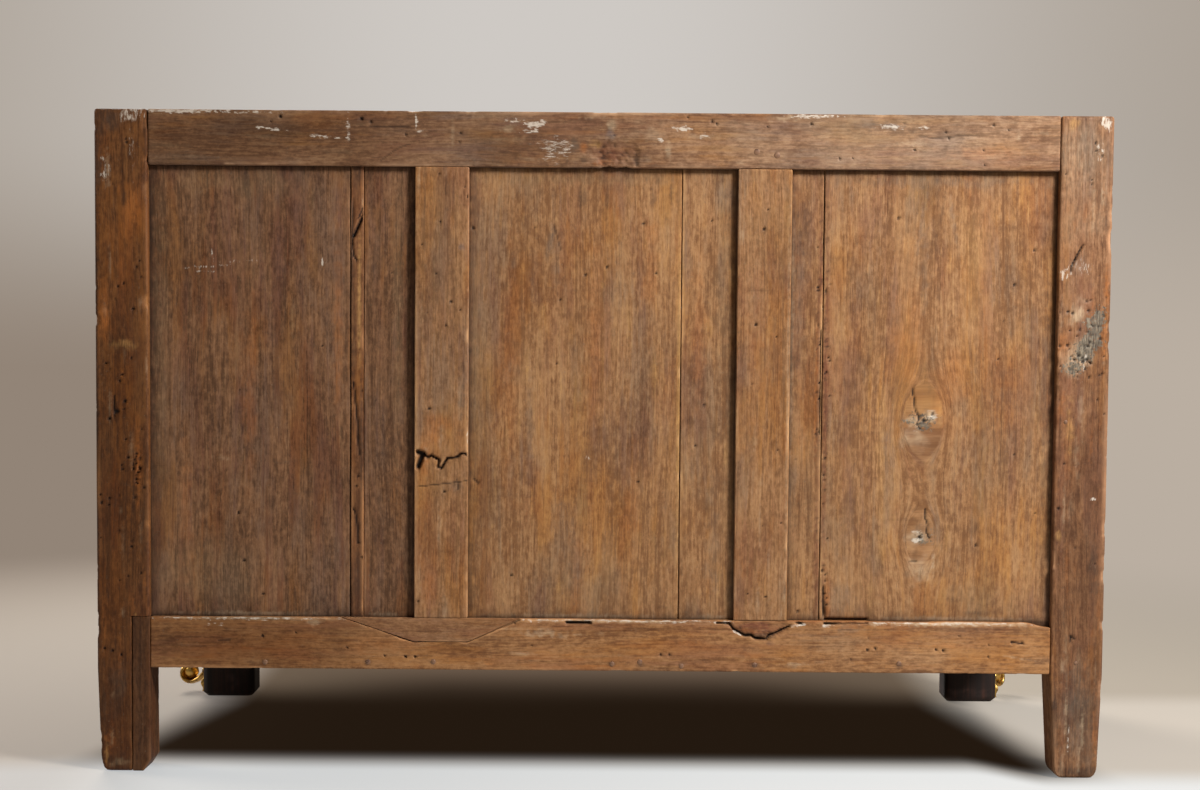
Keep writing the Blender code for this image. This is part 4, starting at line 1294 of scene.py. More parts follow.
class Finishes:
    """Every finish of the commode, built once."""

    def __init__(self) -> None:
        """Builds the shared groups, then each material."""
        groups = Groups()
        oaks = (
            OldOak("top_rail_oak", (108, 75, 52), (148, 110, 80), (173, 136, 103), 0.45),
            OldOak(
                "right_post_oak", (77, 45, 20), (110, 68, 34), (136, 90, 49), 0.5, 0.6, grey=0.3, grit=0.7
            ),
            OldOak("left_post_oak", (98, 62, 38), (136, 94, 62), (162, 119, 84), 0.5, 0.6, grit=0.7),
            OldOak("muntin_oak", (122, 84, 51), (160, 115, 76), (183, 139, 96), 0.4),
            OldOak("warm_panel_oak", (118, 78, 46), (157, 113, 74), (184, 140, 95)),
            OldOak("grey_panel_oak", (80, 53, 33), (123, 86, 58), (155, 114, 81), 0.45, dusky=0.85),
            OldOak("bottom_rail_oak", (112, 71, 41), (156, 109, 67), (182, 133, 88), 0.6, grey=0.4),
            OldOak("patch_oak", (116, 78, 50), (148, 105, 69), (166, 123, 86), 0.7, grey=0.4, scale=1.4),
            OldOak("slip_oak", (86, 52, 29), (128, 84, 51), (156, 110, 70), 0.8, grey=0.3),
            OldOak("splice_oak", (60, 36, 19), (82, 51, 28), (102, 67, 40), 0.5, grey=0.2),
            OldOak("top_board_oak", (102, 70, 46), (138, 100, 69), (162, 123, 88), grey=0.9, scale=0.8),
        )
        self.oak = {oak.name: oak.material(groups) for oak in oaks}
        quarter = math.pi / 2
        self.lining_across = LiningOak("lining_oak_across", (0, 0, 0)).material(groups)
        self.lining_deep = LiningOak("lining_oak_deep", (0, 0, quarter)).material(groups)
        self.veneer = Veneer("polished_veneer").material(groups)
        self.gilt = Metal("worn_gilt", (208, 167, 90), (106, 76, 38), 0.28, 0.55).material(groups)
        self.iron = Metal("worked_iron", (80, 76, 72), (58, 43, 35), 0.6, 0.82).material(groups)
        self.nail = Metal("nail_iron", (126, 90, 64), (82, 54, 38), 0.6, 0.8, 0.0).material(groups)


@dataclass
class RearFrame:
    """Posts, rails, muntins, splice and patch of the back, with what age has done to them."""

    taper_in: float = 0.007
    taper_out: float = 0.004
    foot_round_wide: float = 0.010
    foot_round_high: float = 0.016
    leg_high: float = 0.131
    chamfer_wide: float = 0.009
    chamfer_high: float = 0.014
    patch_low: Spot = (0.166, 0.234)
    joint: float = 0.0004
    edge_wear: float = 0.0012
    end_wear: float = 0.0055
    step: float = 0.0018
    UPRIGHT: ClassVar[tuple[int, int, int]] = (2, 0, 1)
    LEVEL: ClassVar[tuple[int, int, int]] = (0, 2, 1)

    def foot_inset(self, z: Array, taper: float) -> Array:
        """How far a leg's edge stands in: a straight taper to the foot, then an elliptical round."""
        share = np.clip((z - self.foot_round_high) / (self.leg_high - self.foot_round_high), 0, 1)
        low = np.clip(1 - z / self.foot_round_high, 0, 1)
        return taper * (1 - share) + self.foot_round_wide * (1 - np.sqrt(1 - low * low))

    def build(self, finishes: Finishes) -> None:
        """Makes every member from its solid's box; rails and muntins stop where they meet what holds them.

        Args:
            finishes: the commode's finishes.
        """
        (left_low, left_high), (right_low, right_high) = (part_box(f"rear_post_{name}") for name, _ in SIDES)
        splice_low, splice_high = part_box("rear_leg_splice")
        patch_low, patch_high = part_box("rear_rail_patch")
        splice_top = splice_high.z + self.joint
        worn = {"arris": 0.0034, "chipped": 2.2}
        self.lay(
            "rear_post_right",
            finishes.oak["right_post_oak"],
            11,
            breaks=(splice_top,),
            low_edge=lambda z: np.where(z < splice_top, splice_high.x + self.joint, right_low.x),
            high_edge=lambda z: right_high.x - self.foot_inset(z, self.taper_out),
            marks=self.right_post_marks(),
            **worn,
        )
        self.lay(
            "rear_post_left",
            finishes.oak["left_post_oak"],
            12,
            low_edge=lambda z: left_low.x + self.foot_inset(z, self.taper_out),
            high_edge=lambda z: left_high.x - self.foot_inset(z, self.taper_in),
            marks=self.left_post_marks(),
            **worn,
        )
        self.lay(
            "rear_leg_splice",
            finishes.oak["splice_oak"],
            13,
            low_edge=lambda z: splice_low.x + self.chamfer_wide * np.clip(1 - z / self.chamfer_high, 0, 1),
        )
        (_, top_near, rail_high), (_, top_far, top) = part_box("rear_top_rail")
        (_, low_near, bottom), (_, low_far, rail_low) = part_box("rear_bottom_rail")
        self.lay(
            "rear_top_rail",
            finishes.oak["top_rail_oak"],
            14,
            low=(left_high.x, top_near, rail_high),
            high=(right_low.x, top_far, top),
            axes=self.LEVEL,
            low_edge=self.rotten_edge,
            marks=self.top_rail_marks(),
            chipped=1.3,
        )
        self.lay(
            "rear_bottom_rail",
            finishes.oak["bottom_rail_oak"],
            15,
            low=(left_high.x, low_near, bottom),
            high=(right_low.x, low_far, rail_low),
            axes=self.LEVEL,
            high_edge=self.pocket_edge,
            breaks=(patch_low.x, *self.patch_low, patch_high.x),
            marks=self.bottom_rail_marks(),
            chipped=1.3,
        )
        self.lay(
            "rear_rail_patch",
            finishes.oak["patch_oak"],
            16,
            axes=self.LEVEL,
            low_edge=lambda x: patch_high.z - self.pocket(x) + self.joint,
            breaks=self.patch_low,
            arris=0.0006,
            chipped=0.4,
        )
        for name, seed, marks in (
            ("muntin_right", 17, self.right_muntin_marks()),
            ("muntin_left", 18, self.left_muntin_marks()),
        ):
            low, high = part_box(name)
            ends = {"low": (low.x, low.y, rail_low), "high": (high.x, high.y, rail_high)}
            self.lay(name, finishes.oak["muntin_oak"], seed, marks=marks, **ends)

    def lay(self, name: str, finish: Material, seed: int, **changes: object) -> None:
        """Makes one member, upright and as big as its solid unless the changes say otherwise.

        Args:
            name: what it is called.
            finish: its material.
            seed: seed of its figure.
            changes: other fields of the plank.
        """
        low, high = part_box(name)
        fields = {"low": low, "high": high, "axes": self.UPRIGHT, "step": self.step, **changes}
        plank = Plank(name, seed=seed, **fields)
        place_piece(name, plank.shape(), finish, nodes=[name])

    def pocket(self, x: Array) -> Array:
        """Depth of the patch's bed below the rail's top: a flat bottom between two straight slopes.

        Args:
            x: places across the commode.

        Returns:
            The depth at each place.
        """
        low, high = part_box("rear_rail_patch")
        near, far = self.patch_low
        slopes = np.minimum((x - low.x) / (near - low.x), (high.x - x) / (high.x - far))
        return (high.z - low.z) * np.clip(slopes, 0, 1)

    def pocket_edge(self, x: Array) -> Array:
        """The bottom rail's upper edge, worn a little, more so at one end, with the bed cut out of it."""
        uneven = self.edge_wear * np.clip(0.2 + Noise(6).layered(x / 0.05, x * 0 + 1.5, 3), 0, 1)
        end = self.end_wear * eased(-x, 0.528, 0.562)
        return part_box("rear_bottom_rail")[1].z - self.pocket(x) - uneven - end

    def rotten_edge(self, x: Array) -> Array:
        """The top rail's lower edge, ragged below the rotten knot.

        Args:
            x: places across the commode.

        Returns:
            The height at each place.
        """
        noise = Noise(5).layered(x / 0.006, x * 0 + 2.5, 3)
        middle, half = -0.010, 0.030
        ragged = 0.0032 * np.clip(0.35 + noise, 0, 1) * eased(np.abs(x - middle), half, half * 0.7)
        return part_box("rear_top_rail")[0].z + ragged

    @staticmethod
    def right_post_marks() -> list[Mark]:
        """The post that is at the left as the back is looked at.

        Returns:
            The marks.
        """
        p = Pigment
        return [
            *smears(
                p.SHADOW, (-597, 420, 70, 300, 0.55, 0.5), (-597, 70, 70, 190, 1.0, 0.5),
                p.CHALK, (-577, 818, 17, 9, 0.55, 1.0), (-583, 772, 3, 26, 0.3, 1.2),
                (-615, 748, 5, 16, 0.45, 1.5),
                p.ORANGE, (-583, 700, 17, 48, 0.55), (-618, 575, 11, 45, 0.75),
                (-600, 640, 24, 70, 0.22, 0.9), (-577, 372, 3.5, 60, 0.8, 0.9, 0, 0.6),
                (-582, 150, 5, 60, 0.55, 1.0, 0, 0.5), (-615, 30, 9, 28, 0.6, 1.0, 0, 0.6),
                p.YELLOW, (-582, 95, 2.4, 90, 0.9, 1.1, 0, 0.4), (-592, 536, 17, 7, 0.55, 1.0),
                p.DUST, (-600, 10, 16, 6, 0.55, 1.1), (-612, 42, 3, 15, 0.55, 1.0),
                p.SOOT, (-614, 812, 24, 26, 1.0), (-626, 770, 8, 60, 0.8),
                p.YELLOW, (-619, 22, 3, 17, 0.7, 1.0),
                p.GREY, (-602, 105, 13, 38, 0.5, 1.0),
                p.SOOT, (-597, 14, 26, 12, 0.45, 0.8), (-629, 400, 4.5, 420, 0.8, 0.5),
                p.UMBER, (-568, 330, 5, 140, 0.7, 0.4),
                p.SOOT, (-590, 360, 13, 2.2, 0.55, 0.6, -20),
            ),
            *scuffs(
                ((24, 40, p.SOOT), (25, 30, p.ORANGE), (26, 14, p.DUST)),
                (-628, 10), (-566, 820), along_up=True,
            ),
            *pits(1.8, (-613, 443)), *pits(1.5, (-621, 155), (-611, 152), (-600, 147)),
            *pits(1.3, (-597, 498), (-600, 490), (-617, 512), (-598, 385), (-597, 380)),
            Pit(-604, 452, 3.2, 2.0), Crack(((-607, 472), (-606, 440)), 0.8, 2.0),
            *worms(21, 34, (-626, 240), (-570, 800)), *worms(22, 16, (-584, 360), (-574, 400)),
            *worms(23, 10, (-586, 60), (-580, 180)),
        ]

    @staticmethod
    def left_post_marks() -> list[Mark]:
        """The post that is at the right as the back is looked at.

        Returns:
            The marks.
        """
        p = Pigment
        return [
            *smears(
                p.SHADOW, (600, 250, 60, 300, 0.5, 0.6),
                p.CHALK, (620, 818, 7, 9, 0.65, 0.9), (613, 780, 4, 14, 0.35, 1.4),
                (571, 630, 9, 7, 0.5, 1.2), (592, 640, 16, 12, 0.22, 1.2),
                (598, 520, 2.2, 20, 0.4, 1.2, -8), (613, 352, 3, 2, 0.9), (589, 50, 1.6, 15, 0.5, 1.0),
                p.ROT, (611, 563, 13, 32, 0.98, 0.7, -8, 0.35), (601, 543, 14, 24, 0.98, 0.8, -27, 0.35),
                (584, 514, 16, 11, 0.9, 0.9, 0, 0.35),
                p.DUST, (597, 760, 46, 90, 0.34, 0.8),
                p.YELLOW, (580, 816, 9, 9, 0.55), (571, 305, 5, 8, 0.7),
                p.GREY, (600, 790, 26, 22, 0.35, 0.9),
                p.SOOT, (568, 780, 5, 50, 0.35),
                p.OLIVE, (575, 690, 14, 30, 0.4),
                p.GREY, (590, 640, 16, 16, 0.4),
                p.ORANGE, (625, 610, 4, 34, 0.75, 0.9), (623, 555, 3.5, 50, 0.6, 0.9),
                (571, 540, 8, 26, 0.5),
                p.DUST, (591, 582, 10, 22, 0.75, 1.0, -12), (592, 528, 22, 24, 0.6, 1.0, -27),
                p.ORANGE, (572, 470, 5, 26, 0.45, 0.9),
                p.PURPLE, (594, 470, 6, 24, 0.5),
                p.ORANGE, (580, 420, 7, 60, 0.3, 0.9),
                p.UMBER, (612, 330, 14, 130, 0.45, 0.8), (596, 250, 26, 60, 0.4, 0.9),
                (604, 400, 14, 62, 0.6, 0.9),
                p.GREY, (604, 120, 22, 70, 0.5, 0.9),
                p.UMBER, (620, 100, 7, 90, 0.5, 0.8),
                p.ORANGE, (622, 60, 4, 50, 0.5, 1.0),
                p.SOOT, (571, 90, 4, 60, 0.45, 0.9),
                p.GREY, (600, 62, 25, 52, 0.65, 1.0),
                p.SOOT, (596, 104, 24, 52, 0.5, 1.0), (571, 62, 6, 62, 0.9, 0.8),
                p.DUST, (585, 82, 2, 32, 0.8, 0.9), (606, 58, 2.5, 36, 0.7, 0.9),
                p.SOOT, (596, 8, 36, 9, 0.9, 0.8),
                p.UMBER, (588, 335, 11, 62, 0.6, 0.9),
                p.SOOT, (616, 262, 7, 52, 0.7, 0.9), (629, 420, 3.2, 400, 0.75, 0.6),
                p.YELLOW, (583, 440, 5, 40, 0.5, 0.9),
            ),
            *scuffs(
                ((34, 44, p.SOOT), (35, 26, p.ORANGE), (36, 26, p.DUST)),
                (566, 10), (628, 820), along_up=True,
            ),
            *pits(1.6, (577, 585), (583, 583)), *pits(1.2, (607, 793)),
            Crack(((594, 668), (587, 655), (580, 641), (579, 633)), 1.3, 3.0),
            Crack(((594, 176), (588, 181), (590, 171)), 1.0, 2.0), *worms(31, 30, (566, 500), (624, 600)),
            *worms(32, 22, (568, 200), (626, 800)), *worms(33, 8, (596, 520), (606, 530)),
        ]

    @staticmethod
    def top_rail_marks() -> list[Mark]:
        """Smears, drips, a rotten knot and pegged joints.

        Returns:
            The marks.
        """
        p = Pigment
        return [
            *smears(
                p.SHADOW, (-400, 792, 340, 75, 1.0, 0.4), (-110, 792, 200, 70, 0.62, 0.4),
                p.CHALK, (-520, 824, 60, 2.6, 0.8, 0.9), (-440, 823, 40, 1.6, 0.6, 0.9),
                (-413, 803, 24, 1.5, 0.85, 1.3, -6), (-345, 794, 18, 1.6, 0.8, 1.4, -5),
                (-316, 805, 2.6, 17, 0.5, 0.8), (-316, 790, 3, 3, 0.7), (-232, 813, 1.6, 12, 0.95, 0.4),
                (-228, 801, 5, 1.6, 0.8), (-88, 811, 15, 4.5, 0.95, 1.1), (-112, 815, 12, 2.2, 0.6, 1.2),
                (-92, 803, 9, 2.6, 0.7, 1.3), (-62, 778, 17, 14, 0.36, 1.2), (95, 807, 12, 3, 0.98, 0.9),
                (124, 799, 7, 4, 0.6, 1.4), (70, 792, 4, 2.2, 0.8, 0.6, -35), (262, 823, 30, 2.2, 0.8, 1.1),
                (352, 811, 17, 3.4, 0.7, 1.0, -6), (393, 810, 10, 2, 0.6, 1.2),
                p.DUST, (400, 792, 220, 60, 0.3, 0.9), (-187, 798, 2.6, 20, 0.6, 0.6),
                (-120, 805, 16, 5, 0.7, 0.9), (220, 820, 22, 4, 0.5, 1.1), (512, 801, 4, 7, 0.6),
                p.GREY, (-62, 779, 17, 13, 0.5, 1.0), (-36, 786, 8, 11, 0.75), (335, 813, 46, 7, 0.65, 0.9),
                p.PURPLE, (-6, 799, 26, 7, 0.6, 0.7), (258, 768, 17, 4, 0.75, 0.7),
                p.SOOT, (-26, 768, 6, 5, 0.7),
                p.DUST, (8, 812, 8, 8, 0.75, 1.0),
                p.BLUE, (8, 800, 7, 9, 0.6), (358, 812, 12, 2.6, 0.8, 0.6, -5),
                p.RUSSET, (10, 775, 32, 16, 0.95, 0.45, 0, 1.9, 1.6),
                p.YELLOW, (-11, 786, 8, 6, 0.7, 0.8),
                p.ORANGE, (0, 764, 20, 4, 0.5, 1.0, 0, 0.8), (-25, 783, 6, 8, 0.9, 0.3),
                p.SOOT, (40, 772, 5, 11, 0.7, 0.9, 0, 0, 1.0), (381, 806, 5, 4, 0.85),
                p.GREY, (54, 768, 12, 8, 0.6, 0.9),
                p.DUST, (80, 778, 5, 13, 0.7, 0.6), (55, 800, 30, 12, 0.35, 1.2),
                p.UMBER, (548, 800, 12, 18, 0.4, 0.9),
                p.ORANGE, (470, 780, 60, 10, 0.3, 0.9),
                p.SOOT, (180, 760, 400, 2.2, 0.35, 0.9),
            ),
            *scuffs(((42, 34, p.UMBER),), (-550, 760), (550, 824), along_up=False),
            *scuffs(((43, 22, p.DUST),), (-550, 762), (550, 824), along_up=False),
            *pits(1.7, (-400, 818)), *pits(2.2, (-300, 816)), *pits(1.6, (-288, 812)),
            *pits(1.2, (133, 816), (139, 813), (202, 810), (422, 805), (426, 797), (481, 814)),
            Crack(((-290, 807), (-262, 806), (-240, 807)), 0.7, 0.8, dark=0.6),
            Crack(((-275, 765), (-255, 780), (-238, 786)), 0.6, 0.6, dark=0.5),
            Crack(((470, 800), (440, 801), (410, 797), (388, 800)), 0.7, 0.8, dark=0.55),
            *worms(41, 14, (-550, 762), (550, 822)),
        ]

    @staticmethod
    def bottom_rail_marks() -> list[Mark]:
        """A broken-out chunk, chips along the top, a pale line along the top edge that is partly dust and
        partly a painted highlight, nail holes and scuffs.

        Returns:
            The marks.
        """
        p = Pigment
        chunk = ((146, 193), (162, 192), (167, 185), (175, 181), (181, 177), (189, 178), (194, 174))
        chunk += ((208, 173), (212, 178), (221, 181), (230, 186), (238, 190))
        return [
            *smears(
                p.SHADOW, (-460, 163, 260, 85, 1.0, 0.4),
                # The long rows at up 194 to 195, here and in DUST below: partly dust on the top edge, partly
                # a painted highlight where it catches the light.
                p.CHALK, (-440, 195, 125, 2.6, 0.62, 0.9), (20, 195, 145, 2.6, 0.62, 0.9),
                (440, 195, 115, 2.8, 0.66, 0.9), (-480, 186, 14, 1.6, 0.5, 1.2),
                (155, 194, 11, 2.0, 0.9, 0.6, 6), (172, 180, 9, 1.3, 0.8, 0.6, -32),
                (250, 191, 13, 1.6, 0.85, 0.6, 9), (285, 190, 9, 1.6, 0.9),
                p.ORANGE, (-430, 160, 120, 26, 0.3, 0.8),
                p.RUSSET, (-500, 164, 52, 22, 0.3, 0.9),
                # The long DUST rows at up 194 to 195 are partly dust and partly a painted highlight on the
                # rail's top edge.
                p.DUST, (430, 165, 190, 50, 0.16, 0.8), (-440, 195, 130, 3.2, 1.0, 0.7),
                (20, 195, 140, 3.2, 1.0, 0.7), (440, 194, 120, 4.2, 1.0, 0.8),
                (-357, 190, 14, 5, 0.95, 0.5, 0, 0, 1.0), (-70, 178, 24, 5, 0.5, 1.2),
                (520, 152, 24, 1.2, 0.6, 1.2, -8),
                p.RUSSET, (198, 187, 38, 12, 1.0, 0.4, 0, 0.8, 0.8), (196, 187, 30, 10, 1.0, 0.5),
                p.UMBER, (-545, 165, 16, 26, 0.5, 0.8), (186, 184, 18, 5, 0.9, 0.9),
                (205, 178, 14, 3.5, 0.8, 0.6, 0, 0.8),
                p.ORANGE, (-270, 165, 60, 16, 0.28, 0.9),
                p.UMBER, (-330, 160, 16, 20, 0.35, 0.9),
                p.SOOT, (203, 177, 24, 3, 0.8, 0.8, 0, 0.5),
                p.PURPLE, (212, 167, 7, 3.4, 0.75, 0.5),
                p.GREY, (310, 186, 26, 5, 0.5, 0.9),
            ),
            *(Smear(p.SOOT, x, 140, 6, 5, 0.7) for x in (-420, -291, -209, 15, 50, 194, 375, 102)),
            *smears(p.UMBER, (0, 131, 560, 3, 0.6, 0.9)),
            *scuffs(
                ((52, 36, p.UMBER), (53, 22, p.ORANGE), (54, 20, p.DUST), (55, 30, p.SOOT)),
                (-550, 134), (550, 194), along_up=False,
            ),
            *pits(1.5, (-244, 147), (-232, 147), (76, 152), (87, 152), (335, 160), (345, 162), (421, 161)),
            *pits(1.5, (430, 160), (-423, 172), (516, 171), (529, 170)),
            Crack(chunk, 2.6, 5.0),
            Crack(((-317, 195), (-235, 167), (-166, 167), (-101, 195)), 0.7, 1.0, blunt=True, dark=0.8),
            Crack(((246, 194), (252, 193)), 2.0, 4.0, blunt=True),
            Crack(((281, 193), (300, 194.5), (334, 195)), 3.2, 5.0, blunt=True),
            Crack(((-42, 192), (-13, 192)), 3.4, 5.0, blunt=True),
            Crack(((516, 171), (529, 170)), 0.9, 1.2),
            Crack(((-478, 166), (-462, 167)), 1.6, 1.2, dark=0.7), *worms(51, 10, (-550, 136), (550, 190)),
        ]

    @staticmethod
    def right_muntin_marks() -> list[Mark]:
        """The muntin that is at the left as the back is looked at, split across below its middle.

        Returns:
            The marks.
        """
        p = Pigment
        split = ((-221, 402), (-217, 397), (-213, 400), (-209, 398), (-203, 395), (-204, 386), (-200, 384))
        split += ((-196, 391), (-192, 397), (-185, 397), (-179, 399), (-175, 403), (-167, 402))
        return [
            *smears(
                p.CHALK, (-166.5, 425, 1.6, 12, 0.9, 0.7),
                p.OLIVE, (-200, 640, 36, 110, 0.35, 0.6),
                p.ORANGE, (-210, 425, 18, 26, 0.6, 0.7), (-222, 392, 7, 30, 0.6, 0.7),
                (-200, 440, 22, 12, 0.4, 0.9), (-215, 240, 14, 40, 0.4, 0.9),
                p.GREY, (-174, 480, 8, 46, 0.6, 0.8), (-182, 362, 12, 9, 0.5, 0.9),
                p.SOOT, (-175, 510, 5, 9, 0.6), (-184, 365, 5, 5, 0.6, 1.1),
                p.BLUE, (-175, 659, 5, 6, 0.7),
                p.DUST, (-166, 470, 1.4, 150, 0.7, 0.9),
                p.UMBER, (-230, 215, 6, 12, 0.6, 0.8), (-185, 600, 3, 70, 0.4, 0.7, 4),
                (-178, 570, 2, 60, 0.4, 0.7, 5),
            ),
            *scuffs(((62, 26, p.UMBER), (63, 14, p.DUST)), (-230, 200), (-168, 755), along_up=True),
            *pits(1.4, (-196, 355)), *pits(1.2, (-202, 690)), Crack(split, 2.2, 5.0, blunt=True),
            Crack(((-229, 404), (-223, 402), (-229, 386)), 7.0, 6.0, blunt=True),
            Crack(((-230, 361), (-188, 366), (-167, 369)), 0.4, 0.8, dark=0.75),
            Crack(((-180, 372), (-179, 358)), 0.8, 0.8, dark=0.7), *worms(61, 12, (-230, 205), (-168, 750)),
        ]

    @staticmethod
    def left_muntin_marks() -> list[Mark]:
        """The muntin that is at the right as the back is looked at.

        Returns:
            The marks.
        """
        p = Pigment
        return [
            *smears(
                p.SHADOW, (200, 480, 50, 330, 0.3, 0.6),
                p.OLIVE, (200, 700, 36, 60, 0.35, 0.7),
                p.ORANGE, (190, 520, 12, 120, 0.25, 0.9),
                p.DUST, (231, 480, 2.2, 280, 0.4, 0.8),
                p.RUSSET, (198, 684, 6, 5, 0.4, 1.0),
                p.GREY, (210, 640, 18, 16, 0.3, 0.9),
            ),
            *scuffs(((72, 26, p.UMBER), (73, 14, p.DUST)), (170, 200), (230, 755), along_up=True),
            *pits(1.5, (199, 684)), Crack(((182, 609), (207, 609)), 0.5, 0.5, dark=0.5),
            *worms(71, 9, (172, 205), (230, 750)),
        ]


@dataclass(frozen=True)
class Board:
    """One board of a back panel: its ends across, its finish, the solid that it stands for and its marks."""

    name: str
    ends: Spot
    finish: str
    node: str
    seed: int
    marks: tuple[Mark, ...] = ()
    proud: float = 0.0


@dataclass
class BackPanels:
    """The three panels of the back, made of seven boards set in the frame's grooves."""

    joint: float = 0.0005
    step: float = 0.002

    def build(self, finishes: Finishes) -> None:
        """Makes every board between the frame's grooves.

        Args:
            finishes: the commode's finishes.
        """
        outer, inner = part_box("rear_post_right")[0].x / MM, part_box("muntin_right")[1].x / MM
        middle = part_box("muntin_right")[0].x / MM
        low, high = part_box("back_board_left_wide")
        bottom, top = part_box("rear_bottom_rail")[1].z / MM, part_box("rear_top_rail")[0].z / MM
        openings = (
            ((-outer, -inner), self.right_opening()),
            ((-middle, middle), self.centre_opening()),
            ((inner, outer), self.left_opening()),
        )
        for (start, end), board in ((ends, board) for ends, boards in openings for board in boards):
            # Each board gets dirt and painted shade along its opening's sides.
            grime_and_shade = GrimeAndShade((start, bottom), (end, top))
            name = f"back_board_{board.name}"
            plank = Plank(
                name,
                (board.ends[0] + self.joint / 2, low.y, low.z),
                (board.ends[1] - self.joint / 2, high.y + board.proud, high.z),
                (2, 0, 1),
                step=self.step,
                arris=0.0011,
                chipped=0.5,
                uneven=0.35,
                seed=board.seed,
                marks=(*board.marks, grime_and_shade),
            )
            nodes = [f"back_{board.node}"] if board.node else []
            place_piece(name, plank.shape(), finishes.oak[board.finish], nodes=nodes)

    @staticmethod
    def right_opening() -> list[Board]:
        """The opening at the left as the back is looked at: a wide board, a slip and a side board.

        Returns:
            The boards.
        """
        p = Pigment
        wide_low, wide_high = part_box("back_board_right_wide")
        side_low, side_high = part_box("back_board_right_narrow")
        slip_wide, slip_proud = 0.016, 0.0015
        slip_low = side_high.x - slip_wide
        wide = (
            *smears(
                p.CHALK, (-490, 633, 32, 1.2, 0.5, 1.0, 4), (-450, 640, 26, 0.9, 0.4, 1.1, 2),
                (-494, 627, 24, 0.9, 0.4, 1.1, 3), (-486, 650, 0.9, 9, 0.4, 0.6, 8),
                (-349, 640, 1.6, 6, 0.85, 0.4), (-346, 637, 1.0, 4, 0.5),
                p.OLIVE, (-552, 560, 14, 210, 0.55, 0.5), (-450, 735, 120, 22, 0.4, 0.8),
                p.PURPLE, (-375, 690, 11, 60, 0.6, 0.7), (-402, 640, 9, 55, 0.6, 0.7, 4),
                (-415, 560, 10, 60, 0.4, 0.8), (-330, 720, 8, 40, 0.5, 0.8), (-470, 690, 16, 40, 0.3, 0.9),
                p.UMBER, (-505, 480, 9, 110, 0.3, 0.9), (-365, 330, 10, 100, 0.45, 0.8),
                p.ORANGE, (-440, 470, 12, 160, 0.3, 0.8), (-330, 560, 7, 150, 0.35, 0.7),
                (-520, 330, 9, 120, 0.25, 0.8),
                p.SOOT, (-562, 700, 4, 60, 0.4, 0.8),
                p.OLIVE, (-480, 250, 70, 50, 0.4, 0.9),
                p.DUST, (-440, 199, 120, 3.5, 0.6, 0.8), (-475, 395, 14, 3, 0.3, 1.2),
                p.SOOT, (-395, 390, 24, 2.0, 0.4, 1.0, 10), (-370, 352, 26, 2.4, 0.4, 1.0, 8),
                (-385, 372, 12, 3, 0.35, 1.0, -30),
            ),
            *scuffs(((282, 12, p.UMBER),), (-555, 210), (-322, 745), along_up=False),
            *scuffs(((82, 34, p.UMBER), (83, 22, p.OLIVE)), (-555, 210), (-322, 745), along_up=True),
            *pits(1.6, (-424, 224)), Crack(((-455, 620), (-456, 600)), 0.5, 0.6, dark=0.5),
            *worms(81, 5, (-550, 215), (-330, 740)),
        )
        slip = (
            *smears(
                p.SOOT, (-306, 745, 9, 30, 0.6, 0.6),
                p.UMBER, (-309, 560, 4, 110, 0.9, 0.5),
                p.YELLOW, (-303, 590, 2.5, 90, 0.8, 0.8),
                p.SOOT, (-312, 640, 2.5, 110, 0.9, 0.7), (-300, 420, 2.5, 120, 0.8, 0.7),
                (-311, 520, 3, 45, 0.6, 0.7),
                p.UMBER, (-306, 330, 9, 110, 0.7, 0.5),
                p.SOOT, (-306, 240, 9, 50, 0.7, 0.4),
                p.DUST, (-299, 712, 1.2, 10, 0.7, 0.9),
            ),
            *scuffs(((85, 14, p.UMBER),), (-313, 215), (-299, 640), along_up=True),
            Crack(((-297, 700), (-302, 690), (-310, 672)), 3.0, 4.0, blunt=True),
            Crack(((-299, 706), (-304, 694)), 0.7, 1.0),
            Crack(((-311, 720), (-312, 660), (-310, 648), (-305, 640)), 1.4, 2.0),
            Crack(((-310, 490), (-308, 470), (-305, 440), (-303, 400)), 1.2, 2.0),
            Crack(((-308, 330), (-305, 310), (-304, 290)), 1.0, 1.5),
            *worms(86, 8, (-312, 215), (-299, 640)),
        )
        side = (
            *smears(
                p.OLIVE, (-255, 560, 9, 220, 0.5, 0.5),
                p.PURPLE, (-288, 690, 7, 60, 0.5, 0.8), (-272, 690, 6, 30, 0.5, 0.8),
                p.UMBER, (-285, 440, 6, 120, 0.4, 0.8),
                p.DUST, (-270, 199, 30, 3.5, 0.6, 0.8),
            ),
            *scuffs(((88, 18, p.UMBER),), (-294, 210), (-238, 745), along_up=True),
            *worms(87, 2, (-292, 215), (-240, 740)),
        )
        return [
            Board("right_wide", (wide_low.x, wide_high.x), "grey_panel_oak", "board_right_wide", 81, wide),
            Board("right_slip", (slip_low, side_high.x), "slip_oak", "", 82, slip, slip_proud),
            Board("right_narrow", (side_low.x, slip_low), "grey_panel_oak", "board_right_narrow", 83, side),
        ]

